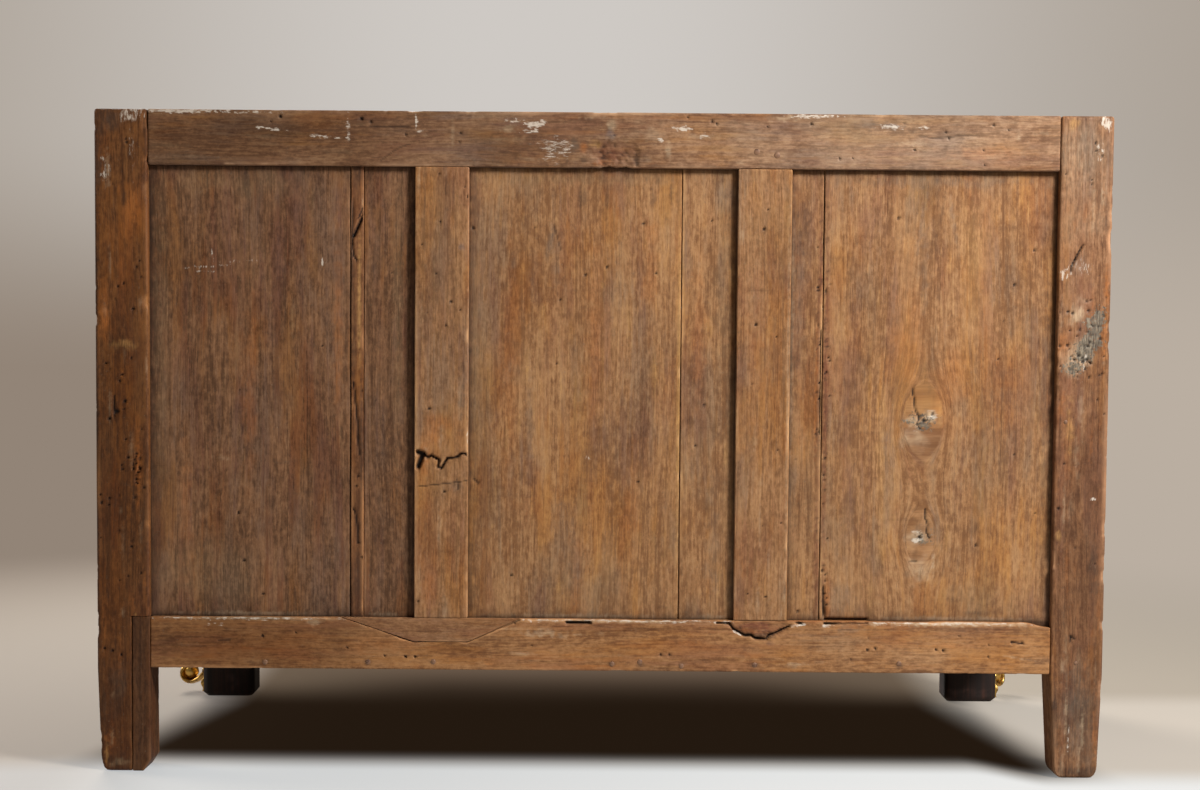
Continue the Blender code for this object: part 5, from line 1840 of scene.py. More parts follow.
    @staticmethod
    def centre_opening() -> list[Board]:
        """The middle opening: a wide board and a narrower one, joined along a pale line that is partly worn
        wood and partly a painted highlight.

        Returns:
            The boards.
        """
        p = Pigment
        low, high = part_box("back_panel_centre")
        in_groove, wide_board = 0.009, 0.264
        joint = high.x - in_groove - wide_board
        wide = (
            *smears(
                p.CHALK, (-15, 397, 6, 2, 0.5, 0.6, -30),
                p.OLIVE, (-160, 560, 7, 230, 0.6, 0.5), (-30, 745, 140, 10, 0.5, 0.9),
                p.SOOT, (-158, 720, 6, 40, 0.5, 0.8), (-27, 722, 7, 20, 0.6, 0.8, -6),
                (4, 722, 7, 20, 0.5, 0.8, -6), (62, 722, 5, 22, 0.5, 0.8), (84, 725, 3, 22, 0.5, 0.8),
                p.GREY, (-66, 668, 5, 26, 0.7, 0.9, -8), (-58, 640, 8, 34, 0.5, 0.8),
                p.SOOT, (-62, 676, 2, 16, 0.6, 0.8, -14), (-70, 655, 2, 18, 0.5, 0.8, 6),
                p.ORANGE, (-115, 480, 13, 200, 0.35, 0.7), (-10, 560, 14, 120, 0.35, 0.7),
                (60, 640, 12, 80, 0.4, 0.7), (40, 330, 12, 100, 0.3, 0.8),
                p.GREY, (-90, 430, 7, 90, 0.5, 0.8), (-40, 300, 24, 70, 0.4, 0.9),
                p.OLIVE, (10, 240, 80, 40, 0.4, 0.9),
                p.UMBER, (-20, 400, 5, 60, 0.35, 0.8),
                p.DUST, (-30, 199, 135, 3.5, 0.6, 0.8),
            ),
            *scuffs(((292, 12, p.UMBER),), (-160, 210), (92, 745), along_up=False),
            *scuffs(
                ((92, 44, p.UMBER), (93, 24, p.GREY), (94, 26, p.YELLOW)),
                (-160, 210), (92, 745), along_up=True,
            ),
            # The pale line down the joint: partly wear, partly a painted highlight on the joint's edge.
            *smears(p.YELLOW, (95.5, 480, 2.6, 300, 1.0, 0.4)),
            *pits(2.0, (-162, 683)), *pits(1.5, (-53, 595), (-22, 626), (5, 636), (66, 629), (-112, 250)),
            Crack(((-62, 690), (-52, 655)), 0.6, 0.6, dark=0.6),
            Crack(((-160, 371), (-154, 366)), 3.0, 1.0, blunt=True, dark=0.7),
            *worms(91, 5, (-155, 215), (90, 740)),
        )
        narrow = (
            *smears(
                p.OLIVE, (150, 620, 14, 160, 0.45, 0.7),
                p.PURPLE, (104, 640, 5, 110, 0.55, 0.7),
                p.ORANGE, (120, 560, 10, 120, 0.35, 0.8),
                p.GREY, (150, 730, 20, 26, 0.5, 0.8), (140, 300, 12, 90, 0.4, 0.8),
                p.DUST, (133, 199, 34, 3.5, 0.6, 0.8),
            ),
            *scuffs(((96, 20, p.UMBER), (97, 12, p.YELLOW)), (103, 210), (162, 745), along_up=True),
            *worms(95, 3, (105, 215), (160, 740)),
        )
        return [
            Board("centre_wide", (joint, high.x), "warm_panel_oak", "panel_centre", 91, wide),
            Board("centre_narrow", (low.x, joint - 0.0004), "warm_panel_oak", "", 92, narrow),
        ]

    @staticmethod
    def left_opening() -> list[Board]:
        """The opening at the right as the back is looked at: a narrow strip, and a board with two knots.

        Returns:
            The boards.
        """
        p = Pigment
        wide_low, wide_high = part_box("back_board_left_wide")
        side_low, side_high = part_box("back_board_left_narrow")
        side = (
            *smears(
                p.PURPLE, (252, 690, 12, 90, 0.4, 0.8),
                p.GREY, (245, 600, 9, 100, 0.4, 0.8),
                p.DUST, (236, 560, 2.2, 200, 0.55, 0.8),
                p.SOOT, (260, 330, 5, 70, 0.4, 0.8),
                p.RUSSET, (271, 560, 5, 220, 1.0, 0.6, 0, 0.4), (271, 290, 5, 120, 1.0, 0.6, 0, 0.4),
                p.ORANGE, (267, 480, 2.5, 90, 0.7, 0.9),
            ),
            *scuffs(((99, 14, p.UMBER),), (238, 210), (268, 745), along_up=True),
            *pits(1.4, (248, 207)), Crack(((272, 560), (273, 520), (272, 470), (273, 430)), 1.8, 2.0),
            *worms(298, 14, (266, 420), (274, 620)), *worms(98, 3, (240, 215), (268, 740)),
        )
        wide = (
            *smears(
                p.CHALK, (411, 453, 8, 8, 0.45, 1.0), (393, 440, 5, 5, 0.4, 1.2),
                (394, 309, 8, 3, 0.4, 1.1),
                p.ROT, (386, 450, 12, 7, 0.65, 1.0, 0, 0.6),
                p.GREY, (420, 744, 140, 9, 0.45, 1.0),
                p.SOOT, (402, 730, 6, 22, 0.5, 0.8, -8), (420, 705, 3, 40, 0.45, 0.8, -10),
                p.GREY, (395, 690, 3.5, 50, 0.5, 0.8, -8), (436, 690, 3.5, 50, 0.5, 0.8, 10),
                (400, 620, 7, 60, 0.45, 0.8),
                p.PURPLE, (335, 690, 22, 50, 0.35, 0.9), (310, 480, 14, 110, 0.4, 0.8),
                (312, 330, 12, 80, 0.5, 0.8),
                p.ORANGE, (385, 560, 24, 90, 0.35, 0.7), (435, 480, 22, 90, 0.35, 0.8),
                p.YELLOW, (460, 650, 26, 90, 0.3, 0.8), (350, 400, 9, 150, 0.3, 0.8),
                p.UMBER, (470, 310, 50, 12, 0.35, 0.9), (460, 290, 30, 8, 0.3, 0.9, 15),
                p.DUST, (411, 453, 10, 10, 1.0, 0.8, 0, 0.5), (390, 446, 15, 9, 0.8, 1.0),
                (397, 303, 16, 12, 0.9, 0.9),
                p.GREY, (500, 420, 30, 100, 0.3, 0.9), (300, 225, 30, 26, 0.45, 0.9),
                p.OLIVE, (470, 225, 90, 26, 0.45, 0.9),
                p.SOOT, (553, 480, 4, 240, 0.35, 0.8),
                p.DUST, (430, 199, 130, 3.5, 0.6, 0.8), (397, 426, 26, 15, 0.5, 1.2),
                p.SOOT, (470, 207, 26, 2.6, 0.5, 0.8),
                p.DUST, (402, 268, 16, 32, 0.55, 1.1), (417, 270, 2, 16, 0.7, 1.0),
                p.ORANGE, (284, 225, 5, 40, 0.7, 0.8),
                p.RUSSET, (279, 470, 4, 300, 1.0, 0.7, 0, 0.4),
            ),
            *scuffs(((303, 12, p.UMBER),), (285, 210), (552, 745), along_up=False),
            *scuffs(
                ((103, 44, p.UMBER), (104, 24, p.GREY), (105, 34, p.YELLOW)),
                (285, 210), (552, 745), along_up=True,
            ),
            *pits(1.6, (536, 661), (512, 618), (470, 292)), Knot(402, 448, 24, 0.3),
            Pit(413, 457, 1.5, 1.5),
            Crack(
                ((389, 493), (388, 482), (390, 472), (391, 461), (396, 453), (394, 443), (399, 437)), 0.8, 2.0
            ),
            Knot(400, 301, 18, 0.6),
            Crack(((406, 338), (405, 328), (409, 318), (408, 308), (412, 300)), 0.7, 2.0),
            Crack(((396, 272), (388, 272)), 1.0, 1.0, dark=0.7), Pit(399, 302, 2.0, 2.0),
            Crack(((279, 240), (280, 218), (281, 198)), 2.4, 4.0),
            Crack(((283, 197.5), (334, 197.5)), 3.0, 5.0, blunt=True),
            *worms(101, 6, (290, 215), (550, 740)), *worms(102, 10, (276, 200), (284, 300)),
            *worms(302, 12, (276, 300), (284, 620)),
        )
        return [
            Board("left_narrow", (side_low.x, side_high.x), "warm_panel_oak", "board_left_narrow", 98, side),
            Board("left_wide", (wide_low.x, wide_high.x), "warm_panel_oak", "board_left_wide", 99, wide),
        ]


def turned(profile: Sequence[Spot], centre: Sequence[float], sides: int) -> Shape:
    """A profile of reach and radius carried round an axis that runs backwards.

    Args:
        profile: reach along the axis and radius there, from the base outwards.
        centre: where the axis starts.
        sides: points round.

    Returns:
        The closed surface, with a shade value that is nought.
    """
    reach, radius = (np.array(values)[:, None] for values in zip(*profile))
    angle = around(sides)
    grid = np.zeros((len(profile), sides, 3)) + np.array(centre)
    grid[..., 1] += reach
    grid[..., 0] += radius * np.cos(angle)
    grid[..., 2] += radius * np.sin(angle)
    return Shape.of(grid, {"shade": np.zeros(grid.shape[:2])})


@dataclass
class BackFasteners:
    """Nail heads and pegs on the back."""

    nail_radius: float = 0.0033
    nail_high: float = 0.0009
    peg_radius: float = 0.0038
    sides: int = 18

    def build(self, finishes: Finishes) -> None:
        """Sets each head on the face that it was driven into.

        Args:
            finishes: the commode's finishes.
        """
        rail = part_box("rear_bottom_rail")[1].y
        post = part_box("rear_post_left")[1].y
        low_rail = ((-420, 139), (-291, 140), (-209, 141), (15, 140), (50, 143), (194, 140), (375, 143))
        heads = [self.head(x, z, rail, self.nail_radius, self.nail_high) for x, z in (*low_rail, (102, 138))]
        place_piece("rear_rail_nails", Shape.joined(heads), finishes.nail)
        post_nails = [self.head(x, z, post, 0.0026, self.nail_high) for x, z in ((596, 146), (577, 448))]
        place_piece("rear_post_nails", Shape.joined(post_nails), finishes.nail)
        pegs = [self.head(x, z, rail, self.peg_radius, 0.0005) for x, z in ((189, 779), (214, 775))]
        place_piece("rear_rail_pegs", Shape.joined(pegs), finishes.nail)

    def head(self, right: float, up: float, face: float, radius: float, high: float) -> Shape:
        """A low dome, sunk into the face, that falls with the square of the distance from its middle.

        Args:
            right: place to the right, in millimetres.
            up: height, in millimetres.
            face: where the face lies.
            radius: its radius.
            high: how proud the dome stands.

        Returns:
            The dome.
        """
        share = np.linspace(1, 0.04, 6)
        profile = [(-0.0012, radius * 0.98), (0.0, radius)]
        profile += [(high * (1 - float(s) ** 2) + 0.0001, radius * float(s)) for s in share[1:]]
        return turned(profile, (-right * MM, face, up * MM), self.sides)


@dataclass
class Front:
    """The bowed front, the canted posts, the sides and the top, in dark veneer."""

    bow: float = 0.034
    opening_half: float = 0.526
    front: float = -0.272664
    cant: float = 0.045
    foot_inset: float = 0.026
    ankle: float = 0.040
    knee: float = 0.096
    foot_bevel: float = 0.006
    foot_wear: float = 0.0028
    foot_wear_wide: float = 0.003
    blunt: float = 0.0012
    rail_deep: float = 0.045
    apron_deep: float = 0.034
    apron_rise: float = 0.116
    apron_drop: float = 0.026
    apron_lobe: float = 0.095
    apron_end_drop: float = 0.018
    apron_sharp: int = 8
    front_thick: float = 0.024
    keyhole_drop: float = 0.026
    tail_proud: float = 0.0004
    bolt_play: float = 0.001
    bolt_throw: float = 0.010
    lock_play: float = 0.0003
    planks: int = 3

    def bowed(self, x: Array) -> Array:
        """How far the front stands out at x: a parabola, nought at the posts."""
        return -self.bow * np.clip(1 - (x / self.opening_half) ** 2, 0, 1)

    def build(self, finishes: Finishes) -> None:
        """Makes the posts, sides, rails, apron, drawer fronts and top.

        Args:
            finishes: the commode's finishes.
        """
        for name, side in SIDES:
            post = f"front_post_{name}"
            place_piece(post, self.post(side), finishes.veneer, nodes=[post])
            self.side_panel(name, side, finishes)
        for seed, name in enumerate(("front_top_rail", "upper_divider", "lower_divider"), 201):
            low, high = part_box(name)
            self.bowed_piece(name, low.z, high.z, self.rail_deep, seed, finishes, CARCASS)
        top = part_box("front_apron")[1].z
        self.bowed_piece("front_apron", self.apron_rise, top, self.apron_deep, 204, finishes, CARCASS)
        for seed, drawer in enumerate(DRAWERS, 211):
            low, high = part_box(f"{drawer}_front")
            self.bowed_piece(f"{drawer}_front", low.z, high.z, self.front_thick, seed, finishes, drawer)
        self.top(finishes)

    def bowed_piece(
        self, name: str, low: float, high: float, deep: float, seed: int, finishes: Finishes, body: str
    ) -> None:
        """A rail, the apron or a drawer front: straight behind, bowed before.

        Args:
            name: the piece, and the solid that it stands for.
            low: height of its lower edge.
            high: height of its upper edge.
            deep: depth at its ends.
            seed: seed of its figure.
            finishes: the commode's finishes.
            body: the body that it rides on.
        """
        drawer = name.endswith("drawer_front")
        half = min(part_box(name)[1].x - self.tail_proud * drawer, self.opening_half - 0.0003)
        plank = Plank(
            name,
            (-half, self.front, low),
            (half, self.front + deep, high),
            (0, 2, 1),
            seen=-1,
            step=0.004,
            arris=0.0012,
            uneven=0.05,
            chipped=0.3,
            seed=seed,
            bow=self.bowed,
            figure=Figure.QUARTERED if drawer else Figure.STRAIGHT,
        )
        if name == "front_apron":
            plank.low_edge = self.apron_edge
        if drawer:
            middle = (high - self.keyhole_drop) / MM
            slot = ((0.0, middle - 6), (0.0, middle + 3))
            plank.marks = (Crack(slot, 5.0, 9.0, blunt=True),)
            plank.step = 0.003
        shape = plank.shape()
        if not drawer:
            shape.layers["edge"] = np.zeros_like(shape.layers["edge"])
        place_piece(name, shape, finishes.veneer, body, [name], self.lock_hollow(name))

    def lock_hollow(self, name: str) -> Hollow | None:
        """The bed of a drawer's lock, or the hole in a rail that the bolt of the drawer below rises into.

        Args:
            name: the rail or drawer front.

        Returns:
            The box to cut out, if there is one.
        """
        above = dict(zip(("lower_divider", "upper_divider", "front_top_rail"), DRAWERS))
        if name in above:
            low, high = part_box(f"{above[name]}_bolt")
            rail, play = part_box(name)[0].z, self.bolt_play
            near, far = low.y - play, high.y + play
            return (low.x - play, near, rail - play), (high.x + play, far, rail + self.bolt_throw + play)
        if name == "front_apron":
            return None
        low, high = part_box(name.replace("_front", "_lock"))
        play, past = self.lock_play, 0.003
        return (low.x - play, low.y - play, low.z - play), (high.x + play, high.y + past, high.z + past)

    def apron_edge(self, x: Array) -> Array:
        """The scalloped lower edge: a rounded drop in the middle, and one towards each leg."""
        middle = self.apron_drop * np.exp(-((x / self.apron_lobe) ** 2))
        ends = self.apron_end_drop * np.abs(x / self.opening_half) ** self.apron_sharp
        return self.apron_rise - middle - ends

    def leg_inset(self, z: Array) -> Array:
        """How far the leg's outer faces stand in: fully at the ankle, not at all from the knee up."""
        return self.foot_inset * (1 - eased(z, self.ankle, self.knee))

    def post(self, side: int) -> Shape:
        """A square post with its outer front corner canted, carried up from a drawn-in foot.

        Args:
            side: -1 for the left post, 1 for the right.

        Returns:
            The post, dark at the foot, with a pale string down each edge of the cant.
        """
        low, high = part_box(f"front_post_{'left' if side < 0 else 'right'}")
        inner, outer = sorted((abs(low.x), abs(high.x)))
        leg = np.linspace(self.foot_bevel, self.knee + 0.01, 34)
        z = np.concatenate([[0, 0.0015], leg, np.linspace(0.11, high.z, 150)])
        inset = self.leg_inset(z)
        shrink = self.foot_bevel * (1 - eased(z, -0.002, self.foot_bevel))
        out, fore = outer - inset - shrink, low.y + inset + shrink
        ins, rear = inner + shrink, high.y - shrink
        corners = np.stack(
            [
                np.stack([ins, out - self.cant, out, out, ins], axis=1),
                np.stack([fore, fore, fore + self.cant, rear, rear], axis=1),
            ],
            axis=-1,
        )
        share = np.concatenate([[0.0, 0.03], np.linspace(0.1, 0.9, 11), [0.97]])
        start, end = corners[:, :, None, :], np.roll(corners, -1, axis=1)[:, :, None, :]
        ring = start + (end - start) * share[None, None, :, None]
        long = np.linalg.norm(end - start, axis=-1)
        away = np.minimum(share, 1 - share)[None, None, :] * long
        low_down = (1 - eased(z, 0.08, 0.12))[:, None, None]
        worn = self.foot_wear * low_down * np.exp(-((away / self.foot_wear_wide) ** 2))
        blunt = (np.where(share < 0.001, self.blunt, 0.0) + worn)[..., None]
        centre = corners.mean(axis=1)[:, None, None, :]
        ring = ring - blunt * (ring - centre) / np.linalg.norm(ring - centre, axis=-1, keepdims=True)
        ring = ring.reshape(len(z), -1, 2)
        height = np.broadcast_to(z[:, None], ring.shape[:2])
        grid = np.stack([side * ring[..., 0], ring[..., 1], height], axis=-1)
        face = np.repeat(np.arange(5), len(share))
        away = away.reshape(len(z), -1)
        noise = Noise(40 + side)
        edge = np.where(face[None, :] == 1, away + 0.012, 0.0) * (height > 0.13)
        patchy = np.clip(0.25 + noise.layered(height / 0.03, away * 0, 3), 0, 0.8)
        wear = np.exp(-((away / 0.002) ** 2)) * patchy
        scuffed = np.clip(noise.layered(height / 0.014, ring[..., 0] / 0.02, 4) - 0.1, 0, 1)
        foot = (0.86 - 0.6 * scuffed) * (1 - eased(height, 0.10, 0.14))
        grain = np.stack([height, ring[..., 0] + 2.0 * side, ring[..., 1]], axis=-1)
        return Shape.of(grid, {"grain": grain, "edge": edge, "wear": wear, "shade": foot})

    def side_panel(self, name: str, side: int, finishes: Finishes) -> None:
        """A quartered panel flush between the posts.

        Args:
            name: what it is called.
            side: -1 for left, 1 for right.
            finishes: the commode's finishes.
        """
        low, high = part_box(f"side_panel_{name}")
        front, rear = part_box(f"front_post_{name}")[1].y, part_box(f"rear_post_{name}")[0].y
        plank = Plank(
            f"side_panel_{name}",
            (low.x, front, low.z),
            (high.x, rear, high.z),
            (2, 1, 0),
            seen=side,
            step=0.004,
            arris=0.0008,
            uneven=0.12,
            chipped=0.3,
            seed=230 + side,
            figure=Figure.QUARTERED,
        )
        place_piece(plank.name, plank.shape(), finishes.veneer, nodes=[plank.name])

    def top(self, finishes: Finishes) -> None:
        """Rough planks laid side by side, which the slab would rest on.

        Args:
            finishes: the commode's finishes.
        """
        low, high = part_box("top_board")
        rear_post, front_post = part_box("rear_post_right"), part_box("front_post_right")
        gap = 0.001
        edges = np.linspace(front_post[1].y + gap, rear_post[0].y - gap, self.planks + 1)
        edges = np.concatenate([[low.y], edges, [high.y]])
        halves = [front_post[0].x - gap, *([high.x] * self.planks), rear_post[0].x - gap]
        shapes = []
        for k, (start, end, half) in enumerate(zip(edges, edges[1:], halves)):
            marks = (
                *worms(240 + k, 24, (-520, start / MM), (520, end / MM)),
                *scuffs(
                    ((250 + k, 40, Pigment.UMBER), (260 + k, 30, Pigment.DUST), (270 + k, 12, Pigment.SOOT)),
                    (-560, start / MM),
                    (560, end / MM),
                    along_up=False,
                ),
            )
            corners = (-half, start, low.z), (half, end - 0.0008, high.z)
            plank = Plank("top", *corners, (0, 1, 2), seed=280 + k, marks=marks, step=0.004, uneven=0.3)
            shapes.append(plank.shape())
        finish = finishes.oak["top_board_oak"]
        place_piece("top_board", Shape.joined(shapes), finish, nodes=["top_board"])


@dataclass
class Sabots:
    """Gilt shoes on the front feet: a ribbed leaf over the cant, and a scroll that curls out from it."""

    high: float = 0.112
    leaf_thick: float = 0.005
    toe_out: float = 0.004
    toe_high: float = 0.030
    toe_round: float = 0.020
    half_wide: float = 0.036
    tip_half_wide: float = 0.006
    gap: float = 0.0003
    ribs: int = 7
    eye: float = 0.0115
    scroll_turns: tuple[tuple[str, float], ...] = (("left", 50.0), ("right", 17.0))

    def build(self, finishes: Finishes, front: Front) -> None:
        """Makes one shoe for each front foot.

        Args:
            finishes: the commode's finishes.
            front: the front, which gives the bow.
        """
        turns = dict(self.scroll_turns)
        for name, side in SIDES:
            shoe = Shape.joined([self.leaf(side, front), self.scroll(side, math.radians(turns[name]), front)])
            place_piece(f"sabot_{name}", shoe, finishes.gilt, nodes=[f"sabot_{name}"])

    def leaf(self, side: int, front: Front) -> Shape:
        """Half an ellipse bulging from the canted face, with ribs fanning up it and lobes along its rim.

        Args:
            side: -1 for the left foot, 1 for the right.
            front: the front, whose leg the shoe lies on.

        Returns:
            The leaf, shaded in its hollows.
        """
        low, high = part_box(f"sabot_{'left' if side < 0 else 'right'}")
        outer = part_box("front_post_right")[1].x
        z = np.linspace(low.z, high.z, 70)[:, None]
        a = np.linspace(0, math.pi, 64)[None, :]
        inset = front.leg_inset(z)
        share = z / self.high
        half = self.tip_half_wide + (self.half_wide - self.tip_half_wide) * (1 - share**2)
        half = half * (1 + 0.06 * np.cos(2 * math.pi * z / 0.019))
        toe = np.exp(-(((z - self.toe_high) / self.toe_round) ** 2))
        bulge = self.leaf_thick + self.toe_out * toe
        rib = np.cos(self.ribs * 2 * (a - math.pi / 2)) * np.sin(a)
        curl = np.cos(2 * math.pi * (z - self.toe_high) / 0.013)
        carved = 0.0011 * rib * (0.4 + toe) + 0.0007 * curl * np.sin(a) * (1 - toe)
        reach = self.gap + bulge * np.sin(a) + carved
        reach = np.concatenate([reach, np.full((len(z), 1), self.gap)], axis=1)
        across = np.concatenate([half * np.cos(a), np.zeros((len(z), 1))], axis=1)
        slant = math.sqrt(0.5)
        x = outer - inset - front.cant / 2 + slant * (reach + across)
        y = front.front + inset + front.cant / 2 + slant * (across - reach)
        grid = np.stack([side * x, y, np.broadcast_to(z, x.shape)], axis=-1)
        hollow = np.concatenate([np.clip(-carved / 0.0014, 0, 0.8), np.ones((len(z), 1))], axis=1)
        return Shape.of(grid, {"shade": hollow})

    def scroll(self, side: int, turn: float, front: Front) -> Shape:
        """A ribbed band that leaves the leaf in a parabola and ends in a spiral of shrinking radius.

        Args:
            side: -1 for the left foot, 1 for the right.
            turn: how far the scroll points forward of straight out to the side, in radians.
            front: the front, whose leg the shoe lies on.

        Returns:
            The scroll.
        """
        centre, wide_radius, small_radius = np.array([0.052, 0.030]), 0.0150, 0.0055
        t = np.linspace(0, 1, 36)[:, None]
        angle = np.radians(np.linspace(-110, 190, 54))[:, None]
        radius = np.linspace(wide_radius, small_radius, 54)[:, None]
        spiral = centre + radius * np.concatenate([np.cos(angle), np.sin(angle)], axis=1)
        start, bend = np.array([0.004, 0.098]), np.array([0.014, 0.026])
        lead = (1 - t) ** 2 * start + 2 * t * (1 - t) * bend + t**2 * spiral[0]
        path = np.concatenate([lead[:-1], spiral])
        way = np.gradient(path, axis=0)
        way = way / np.linalg.norm(way, axis=1, keepdims=True)
        share = np.linspace(0, 1, len(path))[:, None]
        half = 0.005 + 0.009 * np.sin(math.pi * np.clip(share * 1.15, 0, 1)) ** 0.8
        thick = 0.0030 + 0.0012 * share
        a = around(40)
        carved = 0.0007 * np.cos(10 * a) * np.abs(np.sin(a))
        across = half * np.sign(np.cos(a)) * np.abs(np.cos(a)) ** 0.8
        rise = (thick + carved) * np.sin(a)
        reach = path[:, :1] - way[:, 1:] * rise
        z = path[:, 1:] + way[:, :1] * rise
        inset = front.foot_inset
        middle_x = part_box("front_post_right")[1].x - inset - front.cant / 2
        middle_y = front.front + inset + front.cant / 2
        tilt = np.linspace(-0.49 * math.pi, 0.49 * math.pi, 17)[:, None]
        bead = (centre[0] + self.eye * np.cos(tilt) * np.cos(a), self.eye * np.sin(tilt) + 0 * a)
        bead_z = centre[1] + self.eye * np.cos(tilt) * np.sin(a)
        shapes = []
        for out, along, up, hollow in ((reach, across, z, carved), (*bead, bead_z, np.zeros(bead_z.shape))):
            x = middle_x + math.cos(turn) * out + math.sin(turn) * along
            y = middle_y - math.sin(turn) * out + math.cos(turn) * along
            shade = np.broadcast_to(np.clip(-hollow / 0.001, 0, 0.6), x.shape)
            shapes.append(Shape.of(np.stack([side * x, y, up], axis=-1), {"shade": shade}))
        return Shape.joined(shapes)


@dataclass
class Handles:
    """Drop handles, each a lobed plate with two posts and a bail that swings; and the keyhole plates."""

    out: float = 0.270
    half_long: float = 0.072
    half_high: float = 0.033
    thick: float = 0.003
    swell: float = 0.10
    lobes: int = 4
    post_out: float = 0.046
    post_rise: float = 0.006
    post_radius: float = 0.0075
    neck: float = 0.0050
    standoff: float = 0.0105
    pin: float = 0.0020
    bail_radius: float = 0.0032
    bail_swell: float = 0.0012
    bail_gap: float = 0.0020
    bail_drop: float = 0.036
    square_x: float = 0.7
    square_z: float = 0.8
    fit: float = 0.0003
    key_half_wide: float = 0.011
    key_half_high: float = 0.019

    def build(self, finishes: Finishes, front: Front) -> None:
        """Makes two handles and a keyhole plate for each drawer.

        Args:
            finishes: the commode's finishes.
            front: the front, which gives the bow.
        """
        for drawer in DRAWERS:
            for name, side in SIDES:
                plate = f"{drawer}_{name}_handle_plate"
                centre = (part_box(plate)[0].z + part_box(plate)[1].z) / 2
                put = self.placing(side * self.out, centre, front)
                place_piece(plate, self.plate(put), finishes.gilt, drawer, [plate])
                bail = f"{drawer}_{name}_handle_bail"
                place_piece(bail, self.bail(put), finishes.gilt, bail, [bail])
            put = self.placing(0.0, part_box(f"{drawer}_front")[1].z - front.keyhole_drop, front)
            key_plate = self.keyhole_plate(put)
            place_piece(f"{drawer}_keyhole_plate", key_plate, finishes.gilt, drawer)

    def placing(self, x: float, z: float, front: Front) -> Callable[[Array], Array]:
        """Carries across, out and up from a spot on the bowed front into place.

        Args:
            x: the spot's place across.
            z: its height.
            front: the bowed front.

        Returns:
            A function that turns local points to the front's slope there and moves them.
        """
        turn = math.atan(2 * front.bow * x / front.opening_half**2)
        cos, sin = math.cos(turn), math.sin(turn)
        y = front.front + float(front.bowed(np.array(x)))

        def put(local: Array) -> Array:
            """Turns local points to the slope and moves them."""
            across, reach, up = local[..., 0], local[..., 1] + self.fit, local[..., 2]
            return np.stack([x + cos * across + sin * reach, y + sin * across - cos * reach, z + up], axis=-1)

        return put

    def plate(self, put: Callable[[Array], Array]) -> Shape:
        """A lobed oval with a rolled rim, radiating flutes and a boss, and the two posts.

        Args:
            put: carries local points into place.

        Returns:
            The plate and its posts.
        """
        angle = around(144)
        share = np.concatenate([np.linspace(0.02, 0.97, 34), [0.99, 1.0]])[:, None]
        lobe = (1 + self.swell * np.cos(self.lobes * angle)) / (1 + self.swell)
        rim = np.exp(-(((share - 0.91) / 0.05) ** 2))
        flutes = np.clip(np.sin(math.pi * (share - 0.34) / 0.5), 0, 1) * (share < 0.84) * (share > 0.34)
        boss = np.exp(-((share / 0.17) ** 2))
        bead = 0.5 + 0.5 * np.cos(24 * angle)
        high = 0.0013 + 0.0017 * rim + 0.0011 * flutes * bead + 0.0022 * boss
        high = high * np.where(share > 0.985, 0.4, 1.0)
        oval_x = self.half_long * lobe * share * np.cos(angle)
        oval_z = self.half_high * lobe * share * np.sin(angle)
        front = np.stack([oval_x, high, oval_z], -1)
        back = front[::-1][[0, -1]] * np.array([1.0, 0.0, 1.0])
        hollow = np.clip(0.75 - high / 0.0026, 0, 0.75) * (share > 0.2)
        layers = {"shade": np.concatenate([hollow, np.ones((2, 144))])}
        shapes = [Shape.of(put(np.concatenate([front, back])), layers)]
        reach = self.thick + self.standoff
        wide, neck = self.post_radius, self.neck
        profile = [(0.0005, wide * 1.15), (0.0045, wide * 1.15), (0.0055, neck), (reach - wide, neck * 1.05)]
        angles = np.linspace(-1.15, 1.35, 9)
        profile += [(reach + wide * math.sin(a), max(wide * math.cos(a), 0.0004)) for a in angles]
        for side in (-1, 1):
            post = turned(profile, (side * self.post_out, 0, self.post_rise), 20)
            post.points = put(post.points)
            if post.volume() < 0:
                post.quads, post.caps = post.quads[:, ::-1], [cap[::-1].copy() for cap in post.caps]
            shapes.append(post)
        return Shape.joined(shapes)

    def bail(self, put: Callable[[Array], Array]) -> Shape:
        """A round rod along a squared-off curve from pin to pin, thick with two beads in the middle.

        Args:
            put: carries local points into place.

        Returns:
            The bail hanging at rest.
        """
        face = self.post_out - self.post_radius
        half = face - self.bail_gap - self.bail_radius
        a = np.linspace(0, math.pi, 73)[1:-1]
        x = half * np.sign(np.cos(a)) * np.abs(np.cos(a)) ** self.square_x
        z = -self.bail_drop * np.sin(a) ** self.square_z
        lead = np.array([self.post_out - 0.002, face - self.fit, half + self.bail_radius])
        x = np.concatenate([lead, x, -lead[::-1]])
        z = np.concatenate([np.zeros(3), z, np.zeros(3)])
        path = np.stack([x, z], axis=-1)
        way = np.gradient(path, axis=0)
        way /= np.linalg.norm(way, axis=-1, keepdims=True)
        share = np.linspace(-1, 1, len(path))
        radius = self.bail_radius + self.bail_swell * np.exp(-((share / 0.2) ** 2))
        radius += 0.0009 * np.exp(-(((np.abs(share) - 0.26) / 0.022) ** 2))
        radius[:2] = radius[-2:] = self.pin
        angle = around(16)
        side = np.stack([-way[:, 1], way[:, 0]], axis=-1)
        local = np.zeros((len(path), 16, 3))
        local[..., 0] = path[:, None, 0] + radius[:, None] * np.cos(angle) * side[:, None, 0]
        local[..., 1] = self.thick + self.standoff + radius[:, None] * np.sin(angle)
        local[..., 2] = self.post_rise + path[:, None, 1] + radius[:, None] * np.cos(angle) * side[:, None, 1]
        return Shape.of(put(local), {"shade": np.zeros(local.shape[:2])})

